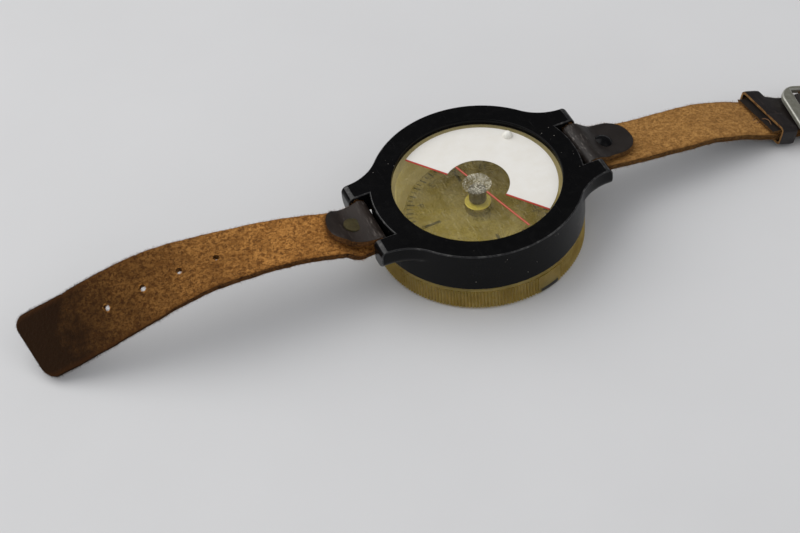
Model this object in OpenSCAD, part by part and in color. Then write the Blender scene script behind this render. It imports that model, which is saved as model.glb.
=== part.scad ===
// Wrist compass for aircrew, lying face down on its bezel, with a riveted leather strap.
// Millimetres. +Z is up, towards the compass's back, and +X runs along the strap to the buckle.
// The origin is on the compass axis, in the plane of the front face that it rests on.

/* [Case] */
// Radius of the case
case_r = 29; // [28:0.5:34]
// Height of the case's back above the front face
case_top = 20.35; // [19.5:0.05:24]
// Height of the case's lower edge, just above the bezel
case_bottom = 7.9; // [7:0.1:9]
// Width of the case's flat back round the opening
back_w = 6; // [5.5:0.25:7]
// Thickness of the lip round the opening
lip_t = 1.65; // [1:0.05:2.2]
// How far the lip covers the capsule's bore
lip_w = 1.6; // [1:0.1:2]
// Wall of the neck that the bezel turns on
neck_t = 1.8; // [1.4:0.1:2]
// Thickness of the dust seal under the lip
seal_t = 0.3; // [0.2:0.05:0.6]

/* [Ears] */
// Width over a pair of ears
ears_w = 28; // [26:0.5:32]
// Clear width between the two ears of a pair
slot_w = 17; // [15:0.5:19]
// Height of the ears' underside
ear_bottom = 14; // [13:0.1:15]
// Radius of the hollow corner between case and ear
ear_fillet_r = 14; // [10:0.5:16]
// How far an ear reaches beyond the strap bar's axis
ear_end = 1.9; // [1.5:0.1:3]
// Rounding of an ear's end towards the back
ear_end_r = 1.9; // [1:0.1:2.5]
// Rounding along an ear's lower outer edge
ear_low_r = 3; // [1:0.25:4]
// Radius of a strap bar
bar_r = 0.8; // [0.6:0.05:1]
// Depth of a strap bar's seat in each ear
bar_seat = 2.5; // [1.5:0.25:4]

/* [Bezel] */
// Number of ribs round the bezel
rib_count = 200; // [120:4:220]
// Depth of the ribs
rib_depth = 0.4; // [0.2:0.05:0.6]
// Height of the plain rim above the ribs
rim_h = 1.2; // [0.6:0.1:2]
// Chamfer of the bezel's front edge
bezel_chamfer = 0.5; // [0.3:0.1:0.8]
// Thickness of the bezel's front flange
flange_t = 2.2; // [2:0.1:3]
// Angle of the plain patch that holds the index mark
patch_angle = 15; // [13:1:24]
// Angle of the index mark itself
index_angle = 12; // [6:1:12]
// Height of the index mark
index_h = 0.9; // [0.5:0.1:1.4]
// Depth of the index mark
index_t = 0.6; // [0.3:0.1:1]
// Radius of the snap ring's wire
snap_wire_r = 0.45; // [0.3:0.05:0.6]

/* [Capsule] */
// Thickness of the capsule's back plate
cell_plate_t = 2; // [1.5:0.1:2.5]
// Wall of the capsule
cell_wall = 2; // [1.5:0.1:2.5]
// Thickness of the capsule's front cover
cover_t = 2; // [1.5:0.1:2.2]
// Direction that the white half plate faces, degrees from +X
plate_dir = 37; // [-180:1:180]
// Thickness of the white half plate
plate_t = 0.12; // [0.1:0.01:0.2]
// Radius of the half plate's cut-out
plate_cut_r = 8.9; // [6:0.1:12]
// Width of the red lines along the plate's straight edge
edge_line_w = 0.5; // [0.4:0.1:1.2]
// Direction of the course line and of the bezel's index, degrees from +X
course_dir = -74.5; // [-180:0.5:180]
// Width of the course line
course_w = 0.7; // [0.5:0.1:1.4]
// Thickness of the printed lines
line_t = 0.08; // [0.06:0.01:0.1]
// Radius of the filler plug
filler_r = 1.35; // [0.8:0.05:1.4]
// Height of the filler plug above the plate
filler_h = 1.7; // [1.5:0.1:1.9]
// Distance of the filler plug's middle from the white plate's rim
filler_inset = 1.9; // [1.7:0.1:4]
// Direction of the filler plug, degrees from +X
filler_dir = 40; // [10:1:70]

/* [Card and pivot] */
// Radius of the clear pivot boss
boss_r = 4; // [3:0.1:5]
// Height of the boss above the back plate
boss_h = 0.15; // [0.1:0.05:0.3]
// Radius of the pivot stem
stem_r = 2.4; // [1.8:0.1:2.8]
// Length of the pivot stem
stem_l = 3.7; // [3:0.1:4.5]
// Radius of the pivot needle
needle_r = 0.6; // [0.4:0.05:0.8]
// Radius of the card's hub
hub_r = 3.6; // [3:0.1:4.5]
// Height of the card's hub
hub_h = 2.8; // [2.4:0.1:3.2]
// Radius of the hub's spigot
spigot_r = 2; // [1.5:0.1:2.4]
// Radius of the jewel cup
jewel_r = 1.3; // [1:0.05:1.5]
// Thickness of the jewel cup
jewel_t = 0.4; // [0.3:0.05:0.6]
// Thickness of the compass card
card_t = 0.6; // [0.4:0.1:1]
// Gap between the card's rim and the capsule's wall
card_gap = 2.3; // [1:0.1:4]
// Outer radius of the ring magnet
magnet_r = 3.3; // [2.8:0.1:4.5]
// Height of the ring magnet
magnet_h = 2.2; // [1.5:0.1:2.8]

/* [Strap] */
// Thickness of the leather
strap_t = 1.8; // [1.4:0.1:2]
// Width of the leather between the ears
strap_w = 16; // [14:0.5:16.2]
// Width of the tab that is riveted to the long strap
tab_long_w = 14.8; // [12:0.2:15.6]
// Width of the tab that is riveted to the short strap
tab_short_w = 13.6; // [10:0.2:15]
// Width of the long strap at its holes
long_w = 19; // [16:0.5:20]
// Corner radius of the long strap's tip
tip_r = 3.5; // [1:0.5:5]
// Radius of a strap hole
hole_r = 0.9; // [0.6:0.1:1.4]
// Distance of the first hole from the strap bar
hole_first = 41.2; // [36:0.2:44]
// Distance between two holes
hole_pitch = 10.1; // [8:0.1:11]
// Number of holes
hole_count = 4; // [1:1:5]
// Width of the short strap at the buckle
buckle_end_w = 14; // [12:0.5:16]
// Thickness of the leather where it is pared down at the buckle
pared_t = 1.2; // [0.9:0.1:1.4]

/* [Rivets] */
// Radius of a rivet's head
rivet_head_r = 2.55; // [2:0.05:3]
// Radius of a rivet's shank
rivet_shank_r = 1.1; // [0.8:0.05:1.3]
// Thickness of the flat brass head
flat_head_t = 0.55; // [0.3:0.05:0.9]
// Height of the domed black head
dome_head_h = 1.1; // [0.8:0.05:1.5]
// Radius of a rivet's washer
burr_r = 2.3; // [1.8:0.1:2.6]
// Thickness of a rivet's washer
burr_t = 0.6; // [0.4:0.1:0.9]

/* [Buckle and keeper] */
// Clear width inside the buckle frame
buckle_in_w = 19.4; // [17:0.2:22]
// Clear length from the buckle's bar axis to its crossbar
buckle_in_l = 7.2; // [7:0.1:7.4]
// Width of the crossbar
crossbar_w = 4; // [3:0.2:4.2]
// Width of each side arm
arm_w = 1.8; // [1.5:0.1:3]
// Thickness of the frame
frame_t = 1.7; // [1.2:0.1:2]
// Outer corner radius of the frame
frame_corner_r = 6; // [2:0.25:6.5]
// Radius of the buckle's bar
buckle_bar_r = 1; // [0.8:0.05:1.1]
// Lean of the folded-back frame above the strap, degrees
frame_lean = 16; // [16:0.5:20]
// Radius of the prong
prong_r = 0.8; // [0.6:0.05:0.9]
// Length of the prong from the bar's axis
prong_l = 12.2; // [11:0.2:13]
// Droop of the prong, degrees
prong_droop = 7; // [0:0.5:7]
// Clearance inside the keeper on each side of the strap
keeper_side = 0.55; // [0.55:0.05:1.5]
// Clearance inside the keeper above the layers of leather
keeper_slack = 1; // [1:0.1:3]
// Thickness of the keeper's leather
keeper_t = 1; // [0.8:0.1:1.1]
// Width of the keeper's band
keeper_band = 4.5; // [3:0.25:5]
// Slant of the keeper across the strap, degrees
keeper_slant = 14; // [0:1:15]

/* [Hidden] */
$fn = 96;
big = 200;
tiny = 0.01;

// Clearances
run_fit = 0.1;
seat_fit = 0.02;
hinge_fit = 0.05;
soft_gap = 0.08;
cell_gap = 0.3;
bezel_gap = 0.25;
seal_gap = 0.1;
neck_gap = 0.4;
swing_gap = 0.35;
tab_gap = 0.25;
hub_gap = 0.6;
tip_gap = 0.15;
keeper_gap = 0.35;
plate_inset = 0.4;
rest_gap = 0.15;

// Case and capsule radii and heights
window_r = case_r - back_w;
bore_r = window_r + lip_w;
neck_r = bore_r + neck_t;
lip_z = case_top - lip_t;
neck_z = flange_t + neck_gap;
cell_r = bore_r - cell_gap;
cell_in_r = cell_r - cell_wall;
cell_top = lip_z - seal_t - seal_gap;
cell_in_top = cell_top - cell_plate_t;
plate_r = cell_in_r - plate_inset;
filler_at = plate_r - filler_inset;
bezel_r = case_r - run_fit;
bezel_bore_r = neck_r + run_fit;
bezel_top = case_bottom - bezel_gap;
rib_top = bezel_top - rim_h;
patch_r = bezel_r - rib_depth / 2;
edge_step = 0.1;
rim_r = patch_r - edge_step;
front_r = bezel_r - rib_depth - edge_step;
index_z = bezel_chamfer + edge_step;
snap_r = (neck_r + bezel_bore_r) / 2;
snap_z = (neck_z + bezel_top) / 2;
snap_split = 12;

// Ears and bars
bar_z = (case_top + ear_bottom) / 2;
loop_r = bar_r + hinge_fit;
bar_x = case_r + loop_r + strap_t + swing_gap;
bar_l = slot_w + 2 * bar_seat;
fillet_y = ears_w / 2 + ear_fillet_r;
fillet_x = sqrt(pow(case_r + ear_fillet_r, 2) - pow(fillet_y, 2));

// Card and pivot heights
ring_in_r = 0.8;
ring_out_r = 1.1;
ring_h = 0.3;
stem_z = cell_in_top - stem_l;
hub_top = stem_z - hub_gap;
hub_z = hub_top - hub_h;
cup_depth = 2.1;
jewel_z = hub_top - cup_depth;
needle_tip = jewel_z + jewel_t + tip_gap;
needle_cone = 1.2;
needle_point_r = 0.075;
needle_seat = 2.5;
card_z = hub_z - card_t;
card_r = cell_in_r - card_gap;
magnet_z = card_z - magnet_h;
spigot_end = 0.2;

// Leather: distances along the strap are taken from the strap bar's axis
lay = strap_t + tab_gap;
fold_r = loop_r + strap_t / 2;
edge_cut = 0.3;
skived_t = 0.8;
tab_long_round = 5;
tab_short_round = 6;
tab_tip_half = 0.6;
// Sideways lean of the tabs, their share of the strap's twist, and the lift of the long strap's tab
tab_twist = 0.8;
tab_long_skew = 0.17;
tab_short_skew = 0.07;
tab_long_rise = 0.75;
tab_short_rise = 0;
tab_end_rise = 0.8;
tab_long_stretch = 1.12;
tab_short_stretch = 1;
slope_lift = 1.04;
loop_steps = 12;
spline_steps = 5;
tip_steps = 10;

// Long strap: [out, across, up, twist, width, thickness, slant] along the middle of the leather
long_points = [
    [-4.6, 0, -0.75, 0, strap_w, strap_t, 0],
    [0, 0, -fold_r, 1, strap_w, strap_t, 0],
    [5.2, 0, -1.35, 7, strap_w, strap_t, 0],
    [9.8, 0.4, 0.8, 4, strap_w, strap_t, 0],
    [21.8, 2, 2.8, 0, strap_w + 0.4 * (long_w - strap_w), strap_t, 0],
    [33.8, 3.2, 3.6, 0, strap_w + 0.8 * (long_w - strap_w), strap_t, 0],
    [45.8, 3.8, 4.1, 4, long_w, strap_t, 0],
    [57.8, 4.4, 2.8, 20, long_w, strap_t, 0],
    [69.8, 5, -0.2, 32, long_w, strap_t, 0],
    [81.8, 7, -5.5, 34, long_w, strap_t, 0],
    [93, 10.6, -11.7, 32, long_w, strap_t, 0.17]
];

// Short strap, as far as the buckle's bar
buckle_loop_r = buckle_bar_r + hinge_fit;
buckle_fold_r = buckle_loop_r + pared_t / 2;
buckle_out = 75;
buckle_across = -3.8;
buckle_up = buckle_loop_r + pared_t + rest_gap - bar_z;
// Heights of the strap above the buckle's bar as it comes down to it
come_down = [2.1, 0.4, -1.25];
short_points = [
    [-5.6, 0, -3, 0, strap_w, strap_t, 0],
    [0, 0, -fold_r, 0, strap_w, strap_t, 0],
    [5.6, 0, -3, 0, strap_w, strap_t, 0],
    [14.6, 0, -4.5, 0, strap_w, strap_t, 0],
    [26, 0, -6.1, 0, strap_w, strap_t, 0],
    [36, 0, -7.3, 0, strap_w, strap_t, 0],
    [46, -0.2, -9.9, 0, strap_w, strap_t, 0],
    [53, -0.6, buckle_up + come_down[0], 0, strap_w, strap_t, 0],
    [60, -1.5, buckle_up + come_down[1], 0, strap_w, strap_t, 0],
    [67, -2.7, buckle_up + come_down[2], 0, (strap_w + buckle_end_w) / 2, pared_t, 0],
    [buckle_out, buckle_across, buckle_up - buckle_fold_r, 0, buckle_end_w, pared_t, 0]
];
// Folded-back end, from the buckle's bar to its pared edge:
// [way back, height above the strap, thickness, slant]
fold_back = [
    [8, pared_t + tab_gap, pared_t, 0],
    [15, (strap_t + pared_t) / 2 + tab_gap, pared_t, 0],
    [20.6, (strap_t + skived_t) / 2 + tab_gap, skived_t, 0.25]
];
buckle_yaw = atan2(short_points[10][1] - short_points[9][1], short_points[10][0] - short_points[9][0]);
prong_side = 0.7;
slot_half = prong_r + prong_side;
slot_back = 4;

// Keeper, placed on the short strap between two of its points
keeper_on = [7, 0.7];
keeper_lean = 14;
keeper_roll = -2;
keeper_in_corner = 0.4;
keeper_in_w = strap_w + 2 * keeper_side;
keeper_in_h = strap_t + pared_t + keeper_slack;

// The buckle has slid to one side on the strap's loop
side_play = 0.7;
buckle_shift = (buckle_end_w - buckle_in_w) / 2 + side_play;
eye_wall = 0.9;
eye_r = buckle_bar_r + eye_wall;
eye_w = 2.2;

// Rivet heights along the strap's own normal, from the middle of its leather
rivet_top = lay + strap_t / 2 + soft_gap;
burr_top = -strap_t / 2 - soft_gap;
burr_bottom = burr_top - burr_t;
clinch_w = 0.5;
clinch_r = rivet_shank_r + clinch_w;
clinch_t = 0.35;

// Vectors and splines
function xyz(p) = [p[0], p[1], p[2]];
function unit(v) = v / norm(v);
function bend(a, b, c, d, t) = 0.5 * (2 * b + (c - a) * t + (2 * a - 5 * b + 4 * c - d) * t * t
    + (3 * b - a - 3 * c + d) * t * t * t);
// Point on a smooth curve through a list of points, t of the way from point i to the next
function on_curve(p, i, t) = bend(p[max(i - 1, 0)], p[i], p[i + 1], p[min(i + 2, len(p) - 1)], t);
// Points from the first to the last stretch
function along(p, first, last) = [
    for (i = [first : last])
        for (j = [0 : i == last ? spline_steps : spline_steps - 1])
            on_curve(p, i, j / spline_steps)
];
// The same for leather with a rounded end, where the points get closer together
function along_to_end(p, first, last) = concat(
    along(p, first, last - 1),
    [for (j = [1 : tip_steps]) on_curve(p, last, sin(90 * j / tip_steps))]);
function turned_back(list) = [for (i = [len(list) - 1 : -1 : 0]) list[i]];
function wrapped(a) = (a + 900) % 360 - 180;

// Round an end: half a circle or two corners, by the distance that is left to the end
function round_end(list, reach, least) = [
    for (p = list)
        let (left = norm(xyz(p) - xyz(list[len(list) - 1])))
        let (in = reach - sqrt(max(0, reach * reach - pow(max(0, reach - left), 2))))
        [p[0], p[1], p[2], p[3], max(p[4] - 2 * in * (p[4] / 2 - least) / reach, 2 * least), p[5], p[6]]
];

// Tab that lies on the strap, from its round tip to the top of the bar
function tab_points(p, w, skew, rise, stretch) = [
    for (i = [0 : 4])
        let (up = p[i][2] + lay * slope_lift + (i == 2 ? rise : rise * tab_end_rise))
        i == 1 ? [0, 0, fold_r, 0, strap_w, strap_t, 0]
        : [stretch * p[i][0], p[i][1] + skew * abs(p[i][0]), up, tab_twist * p[i][3], w, strap_t, 0]
];
function tab(points, reach) = turned_back(round_end(along_to_end(points, 1, 2), reach, tab_tip_half));
function tab_long() = tab(
    tab_points(long_points, tab_long_w, tab_long_skew, tab_long_rise, tab_long_stretch), tab_long_round);
function tab_short() = tab(
    tab_points(short_points, tab_short_w, tab_short_skew, tab_short_rise, tab_short_stretch), tab_short_round);
// Turn of the leather round a strap bar, on the side of the case
function bar_turn() = [
    for (i = [1 : loop_steps - 1])
        let (a = 90 + 180 * i / loop_steps)
        [fold_r * cos(a), 0, fold_r * sin(a), 0, strap_w, strap_t, 0]
];

function long_path() = concat(tab_long(), bar_turn(),
    round_end(along_to_end(long_points, 1, len(long_points) - 2), tip_r, long_w / 2 - tip_r));

// Turn of the leather round the buckle's bar, and its folded-back end
function buckle_turn() = [
    for (i = [1 : loop_steps - 1])
        let (a = -90 + 180 * i / loop_steps)
        [buckle_out + buckle_fold_r * cos(a) * cos(buckle_yaw),
         buckle_across + buckle_fold_r * cos(a) * sin(buckle_yaw),
         buckle_up + buckle_fold_r * sin(a), 0, buckle_end_w, pared_t, 0]
];
function strap_at(p, out) = let (i = max([for (k = [1 : len(p) - 2]) p[k][0] <= out ? k : 1]))
    on_curve(p, i, (out - p[i][0]) / (p[i + 1][0] - p[i][0]));
function fold_back_points() = concat(
    [[buckle_out + slot_back, buckle_across, buckle_up + buckle_fold_r, 0, buckle_end_w, pared_t, 0],
     [buckle_out, buckle_across, buckle_up + buckle_fold_r, 0, buckle_end_w, pared_t, 0]],
    [for (k = [0 : len(fold_back) - 1])
        let (on = strap_at(short_points, buckle_out - fold_back[k][0]))
        [on[0], on[1], on[2] + fold_back[k][1], 0, on[4], fold_back[k][2], fold_back[k][3]]]);
function short_path() = concat(tab_short(), bar_turn(), along(short_points, 1, len(short_points) - 2),
    buckle_turn(), along(fold_back_points(), 1, len(fold_back)));

// Leather swept along a path with its width, thickness and twist
function heading(path, i) = unit(xyz(path[min(i + 1, len(path) - 1)]) - xyz(path[max(i - 1, 0)]));
function section(p, t) =
    let (flat = unit([0, 1, 0] - t[1] * t))
    let (rise = cross(t, flat))
    let (side = flat * cos(p[3]) + rise * sin(p[3]))
    let (face = rise * cos(p[3]) - flat * sin(p[3]))
    let (w = p[4] / 2, h = p[5] / 2, c = edge_cut)
    let (upper = [[w, h - c], [w - c, h], [c - w, h], [-w, h - c]])
    let (lower = [[-w, c - h], [c - w, -h], [w - c, -h], [w, c - h]])
    [for (s = concat(upper, lower)) xyz(p) + s[0] * (side + p[6] * t) + s[1] * face];
module leather(path) {
    n = 8;
    last = n * (len(path) - 1);
    points = [for (i = [0 : len(path) - 1]) each section(path[i], heading(path, i))];
    walls = [for (i = [0 : len(path) - 2]) for (j = [0 : n - 1])
        let (a = n * i + j, b = n * i + (j + 1) % n)
        each [[a, a + n, b + n], [a, b + n, b]]];
    caps = [for (j = [1 : n - 2]) each [[0, j, j + 1], [last, last + j + 1, last + j]]];
    polyhedron(points, concat(walls, caps), convexity = 10);
}

// Places along the straps
module at_long_bar() translate([-bar_x, 0, bar_z]) mirror([1, 0, 0]) children();
module at_short_bar() translate([bar_x, 0, bar_z]) children();
module at_rivet(p) {
    rise = p[3] - p[1];
    translate(xyz(p[2])) rotate([0, -atan2(rise[2], rise[0]), 0]) children();
}
module at_buckle() translate([buckle_out, buckle_across, buckle_up]) rotate([0, 0, buckle_yaw]) children();
module at_keeper() {
    on = on_curve(short_points, keeper_on[0], keeper_on[1]);
    translate([on[0], on[1], on[2] - strap_t / 2]) rotate([keeper_roll, keeper_lean, buckle_yaw]) children();
}
module across(length) rotate([90, 0, 0]) translate([0, 0, -length / 2]) linear_extrude(length) children();
module rod_across(r, length) rotate([90, 0, 0]) cylinder(h = length, r = r, center = true);
module ring(r_out, r_in, h) {
    difference() {
        cylinder(h = h, r = r_out);
        translate([0, 0, -1]) cylinder(h = h + 2, r = r_in);
    }
}

// Case
module ear_corner() {
    difference() {
        polygon([[0, 0], case_r * unit([fillet_x, fillet_y]), [fillet_x, fillet_y], [fillet_x, 0]]);
        translate([fillet_x, fillet_y]) circle(r = ear_fillet_r);
    }
}
module ear_plan() {
    translate([0, -ears_w / 2]) square([bar_x + ear_end, ears_w]);
    ear_corner();
    mirror([0, 1]) ear_corner();
}
module ear_side() {
    reach = bar_x + ear_end;
    translate([0, ear_bottom]) square([reach, case_top - ear_bottom - ear_end_r]);
    translate([0, ear_bottom]) square([reach - ear_end_r, case_top - ear_bottom]);
    translate([reach - ear_end_r, case_top - ear_end_r]) circle(r = ear_end_r);
}
module ear_low_edge() {
    translate([fillet_x, fillet_y, ear_bottom]) difference() {
        translate([0, 0, -1]) cylinder(h = ear_low_r + 1, r = ear_fillet_r + ear_low_r);
        rotate_extrude() translate([ear_fillet_r + ear_low_r, ear_low_r]) circle(r = ear_low_r);
    }
}
module ears() {
    difference() {
        intersection() {
            translate([0, 0, ear_bottom]) linear_extrude(case_top - ear_bottom) ear_plan();
            across(2 * fillet_y) ear_side();
        }
        ear_low_edge();
        mirror([0, 1, 0]) ear_low_edge();
        translate([window_r, -slot_w / 2, 0]) cube([big, slot_w, big]);
        translate([bar_x, 0, bar_z]) rod_across(bar_r + seat_fit, bar_l + 2 * seat_fit);
    }
}
module case() {
    color([0.05, 0.05, 0.055]) difference() {
        union() {
            translate([0, 0, case_bottom]) cylinder(h = case_top - case_bottom, r = case_r);
            translate([0, 0, neck_z]) cylinder(h = case_bottom - neck_z + 1, r = neck_r);
            ears();
            mirror([1, 0, 0]) ears();
        }
        cylinder(h = big, r = window_r);
        translate([0, 0, -1]) cylinder(h = lip_z + 1, r = bore_r);
        snap_groove();
    }
}
module snap_groove() {
    rotate_extrude() translate([snap_r, snap_z]) circle(r = snap_wire_r + run_fit);
}
module strap_bar() {
    color([0.5, 0.5, 0.5]) rod_across(bar_r, bar_l);
}
module strap_bar_long() at_long_bar() strap_bar();
module strap_bar_short() at_short_bar() strap_bar();
module dust_seal() {
    color([0.25, 0.22, 0.18]) translate([0, 0, lip_z - seal_t])
        ring(bore_r - seat_fit, window_r + run_fit, seal_t);
}
module snap_ring() {
    color([0.6, 0.6, 0.6]) rotate([0, 0, snap_split / 2]) rotate_extrude(angle = 360 - snap_split)
        translate([snap_r, snap_z]) circle(r = snap_wire_r);
}

// Bezel
module knurl_outline() {
    polygon([for (i = [0 : 2 * rib_count - 1])
        let (a = i * 180 / rib_count)
        let (plain = abs(wrapped(a - course_dir)) < patch_angle / 2)
        let (r = plain ? patch_r : bezel_r - (i % 2) * rib_depth)
        [r * cos(a), r * sin(a)]]);
}
module index_arc(extra) {
    rotate([0, 0, course_dir - index_angle / 2]) rotate_extrude(angle = index_angle)
        translate([patch_r - index_t - extra, index_z]) square([index_t + 2 * extra, index_h]);
}
module bezel() {
    color([0.62, 0.55, 0.25, 0.7]) difference() {
        union() {
            cylinder(h = bezel_chamfer, r1 = front_r - bezel_chamfer, r2 = front_r);
            translate([0, 0, bezel_chamfer]) linear_extrude(rib_top - bezel_chamfer) knurl_outline();
            translate([0, 0, rib_top]) cylinder(h = rim_h, r = rim_r);
        }
        translate([0, 0, -1]) cylinder(h = big, r = cell_r + seat_fit);
        translate([0, 0, flange_t]) cylinder(h = big, r = bezel_bore_r);
        snap_groove();
        index_arc(seat_fit);
    }
}
module bezel_index() {
    color([0.06, 0.06, 0.05]) index_arc(0);
}

// Capsule
module cell_cup() {
    color([0.75, 0.7, 0.45, 0.5]) difference() {
        translate([0, 0, cover_t]) cylinder(h = cell_top - cover_t, r = cell_r);
        translate([0, 0, -1]) cylinder(h = cell_in_top + 1, r = cell_in_r);
        cylinder(h = big, r = boss_r + seat_fit);
        rotate([0, 0, filler_dir]) translate([filler_at, 0, 0]) cylinder(h = big, r = filler_r + seat_fit);
    }
}
module cell_cover() {
    color([0.78, 0.74, 0.5, 0.5]) cylinder(h = cover_t, r = cell_r);
}
module plate_sector() {
    intersection() {
        circle(r = plate_r);
        rotate(plate_dir) translate([0, -big / 2]) square([big, big]);
    }
}
module half_plate() {
    color([0.86, 0.82, 0.72]) translate([0, 0, cell_top]) difference() {
        linear_extrude(plate_t) plate_sector();
        translate([0, 0, -1]) cylinder(h = 2, r = plate_cut_r);
        rotate([0, 0, filler_dir]) translate([filler_at, 0, -1]) cylinder(h = 2, r = filler_r + run_fit);
    }
}
module red_edge_lines() {
    color([0.75, 0.12, 0.08]) translate([0, 0, cell_top]) rotate([0, 0, plate_dir]) for (side = [0, 1]) {
        mirror([0, side, 0]) intersection() {
            translate([-edge_line_w - seat_fit, plate_cut_r, 0]) cube([edge_line_w, plate_r, line_t]);
            cylinder(h = line_t, r = plate_r);
        }
    }
}
module course_line() {
    color([0.8, 0.2, 0.16]) translate([0, 0, cell_top]) rotate([0, 0, course_dir]) {
        translate([boss_r + run_fit, -course_w / 2, 0])
            cube([plate_r - 2 * plate_inset - boss_r, course_w, line_t]);
        translate([run_fit - plate_cut_r, -course_w / 2, 0])
            cube([plate_cut_r - boss_r - 2 * run_fit, course_w, line_t]);
    }
}
module filler_plug() {
    color([0.9, 0.89, 0.86]) rotate([0, 0, filler_dir]) translate([filler_at, 0, cell_in_top]) {
        cylinder(h = cell_plate_t + filler_h - filler_r, r = filler_r);
        intersection() {
            translate([0, 0, cell_plate_t + filler_h - filler_r]) sphere(r = filler_r);
            cylinder(h = big, r = filler_r);
        }
    }
}

// Pivot and card
module pivot_boss() {
    color([0.8, 0.78, 0.6, 0.6]) {
        translate([0, 0, cell_in_top]) cylinder(h = cell_plate_t + boss_h, r = boss_r);
        translate([0, 0, cell_top + boss_h - tiny]) ring(ring_out_r, ring_in_r, ring_h);
    }
}
module pivot_stem() {
    color([0.12, 0.1, 0.08]) translate([0, 0, stem_z]) ring(stem_r, needle_r + seat_fit, stem_l);
}
module pivot_needle() {
    color([0.7, 0.7, 0.72]) translate([0, 0, needle_tip]) {
        cylinder(h = needle_cone, r1 = needle_point_r, r2 = needle_r);
        translate([0, 0, needle_cone])
            cylinder(h = stem_z + needle_seat - needle_tip - needle_cone, r = needle_r);
    }
}
module card_hub() {
    color([0.7, 0.62, 0.25]) difference() {
        union() {
            translate([0, 0, hub_z]) cylinder(h = hub_h, r = hub_r);
            translate([0, 0, magnet_z - spigot_end])
                cylinder(h = hub_z - magnet_z + spigot_end, r = spigot_r);
        }
        translate([0, 0, jewel_z]) cylinder(h = big, r = jewel_r + seat_fit);
    }
}
module jewel_cup() {
    color([0.6, 0.1, 0.2]) translate([0, 0, jewel_z]) cylinder(h = jewel_t, r = jewel_r);
}
module compass_card() {
    color([0.8, 0.76, 0.5, 0.6]) translate([0, 0, card_z]) ring(card_r, spigot_r + seat_fit, card_t);
}
module ring_magnet() {
    color([0.2, 0.2, 0.21]) translate([0, 0, magnet_z]) ring(magnet_r, spigot_r + seat_fit, magnet_h);
}

// Straps
// Hole for a rivet, with the shallow seats that its head and its washer have pressed into the leather
module rivet_hole(p, rise) {
    at_rivet(p) {
        cylinder(h = 4 * lay, r = rivet_shank_r + hinge_fit, center = true);
        translate([0, 0, rivet_top + rise - soft_gap]) cylinder(h = lay, r = rivet_head_r + soft_gap);
        translate([0, 0, burr_top + soft_gap - lay]) cylinder(h = lay, r = burr_r + soft_gap);
    }
}
module strap_hole(out) {
    on = strap_at(long_points, out);
    next = strap_at(long_points, out + 1);
    way = next - on;
    translate(xyz(on)) rotate([0, 0, atan2(way[1], way[0])])
        rotate([0, -atan2(way[2], norm([way[0], way[1]])), 0])
            rotate([on[3], 0, 0]) cylinder(h = 3 * strap_t, r = hole_r, center = true);
}
module strap_long() {
    color([0.5, 0.34, 0.17]) at_long_bar() difference() {
        leather(long_path());
        rod_across(loop_r, 2 * slot_w);
        rivet_hole(long_points, tab_long_rise);
        for (k = [0 : hole_count - 1]) strap_hole(hole_first + k * hole_pitch);
    }
}
module strap_short() {
    color([0.52, 0.36, 0.18]) at_short_bar() difference() {
        leather(short_path());
        rod_across(loop_r, 2 * slot_w);
        rivet_hole(short_points, tab_short_rise);
        at_buckle() rod_across(buckle_loop_r, 2 * slot_w);
        at_buckle() translate([-slot_back, -slot_half, -big / 2]) cube([3 * slot_back, 2 * slot_half, big]);
    }
}

// Rivets
module rivet_shank(rise) {
    translate([0, 0, burr_bottom]) cylinder(h = rivet_top + rise - burr_bottom, r = rivet_shank_r);
    translate([0, 0, burr_bottom - clinch_t]) cylinder(h = clinch_t, r = clinch_r);
}
module rivet_long() {
    color([0.42, 0.36, 0.18]) at_long_bar() at_rivet(long_points) {
        rivet_shank(tab_long_rise);
        translate([0, 0, rivet_top + tab_long_rise]) cylinder(h = flat_head_t, r = rivet_head_r);
    }
}
module rivet_short() {
    ball_r = (pow(rivet_head_r, 2) + pow(dome_head_h, 2)) / (2 * dome_head_h);
    color([0.06, 0.06, 0.06]) at_short_bar() at_rivet(short_points) {
        rivet_shank(tab_short_rise);
        translate([0, 0, rivet_top + tab_short_rise]) intersection() {
            cylinder(h = dome_head_h, r = rivet_head_r);
            translate([0, 0, dome_head_h - ball_r]) sphere(r = ball_r);
        }
    }
}
module rivet_burr() {
    translate([0, 0, burr_bottom]) ring(burr_r, rivet_shank_r + seat_fit, burr_t);
}
module rivet_burr_long() {
    color([0.45, 0.38, 0.18]) at_long_bar() at_rivet(long_points) rivet_burr();
}
module rivet_burr_short() {
    color([0.2, 0.2, 0.2]) at_short_bar() at_rivet(short_points) rivet_burr();
}

// Buckle and keeper
module rounded(w, h, r) {
    translate([r - w / 2, -h / 2]) square([w - 2 * r, h]);
    translate([-w / 2, r - h / 2]) square([w, h - 2 * r]);
    for (x = [-1, 1]) for (y = [-1, 1]) translate([x * (w / 2 - r), y * (h / 2 - r)]) circle(r = r);
}
module keeper_loop() {
    out_w = keeper_in_w + 2 * keeper_t;
    out_h = keeper_in_h + 2 * keeper_t;
    tube_l = keeper_band + out_w;
    middle = keeper_in_h / 2 - keeper_gap;
    color([0.1, 0.08, 0.07]) at_short_bar() at_keeper() translate([0, 0, middle]) intersection() {
        translate([-tube_l / 2, 0, 0]) rotate([90, 0, 90]) linear_extrude(tube_l) difference() {
            rounded(out_w, out_h, keeper_in_corner + keeper_t);
            rounded(keeper_in_w, keeper_in_h, keeper_in_corner);
        }
        rotate([0, 0, keeper_slant]) cube([keeper_band, big, big], center = true);
    }
}
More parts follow.
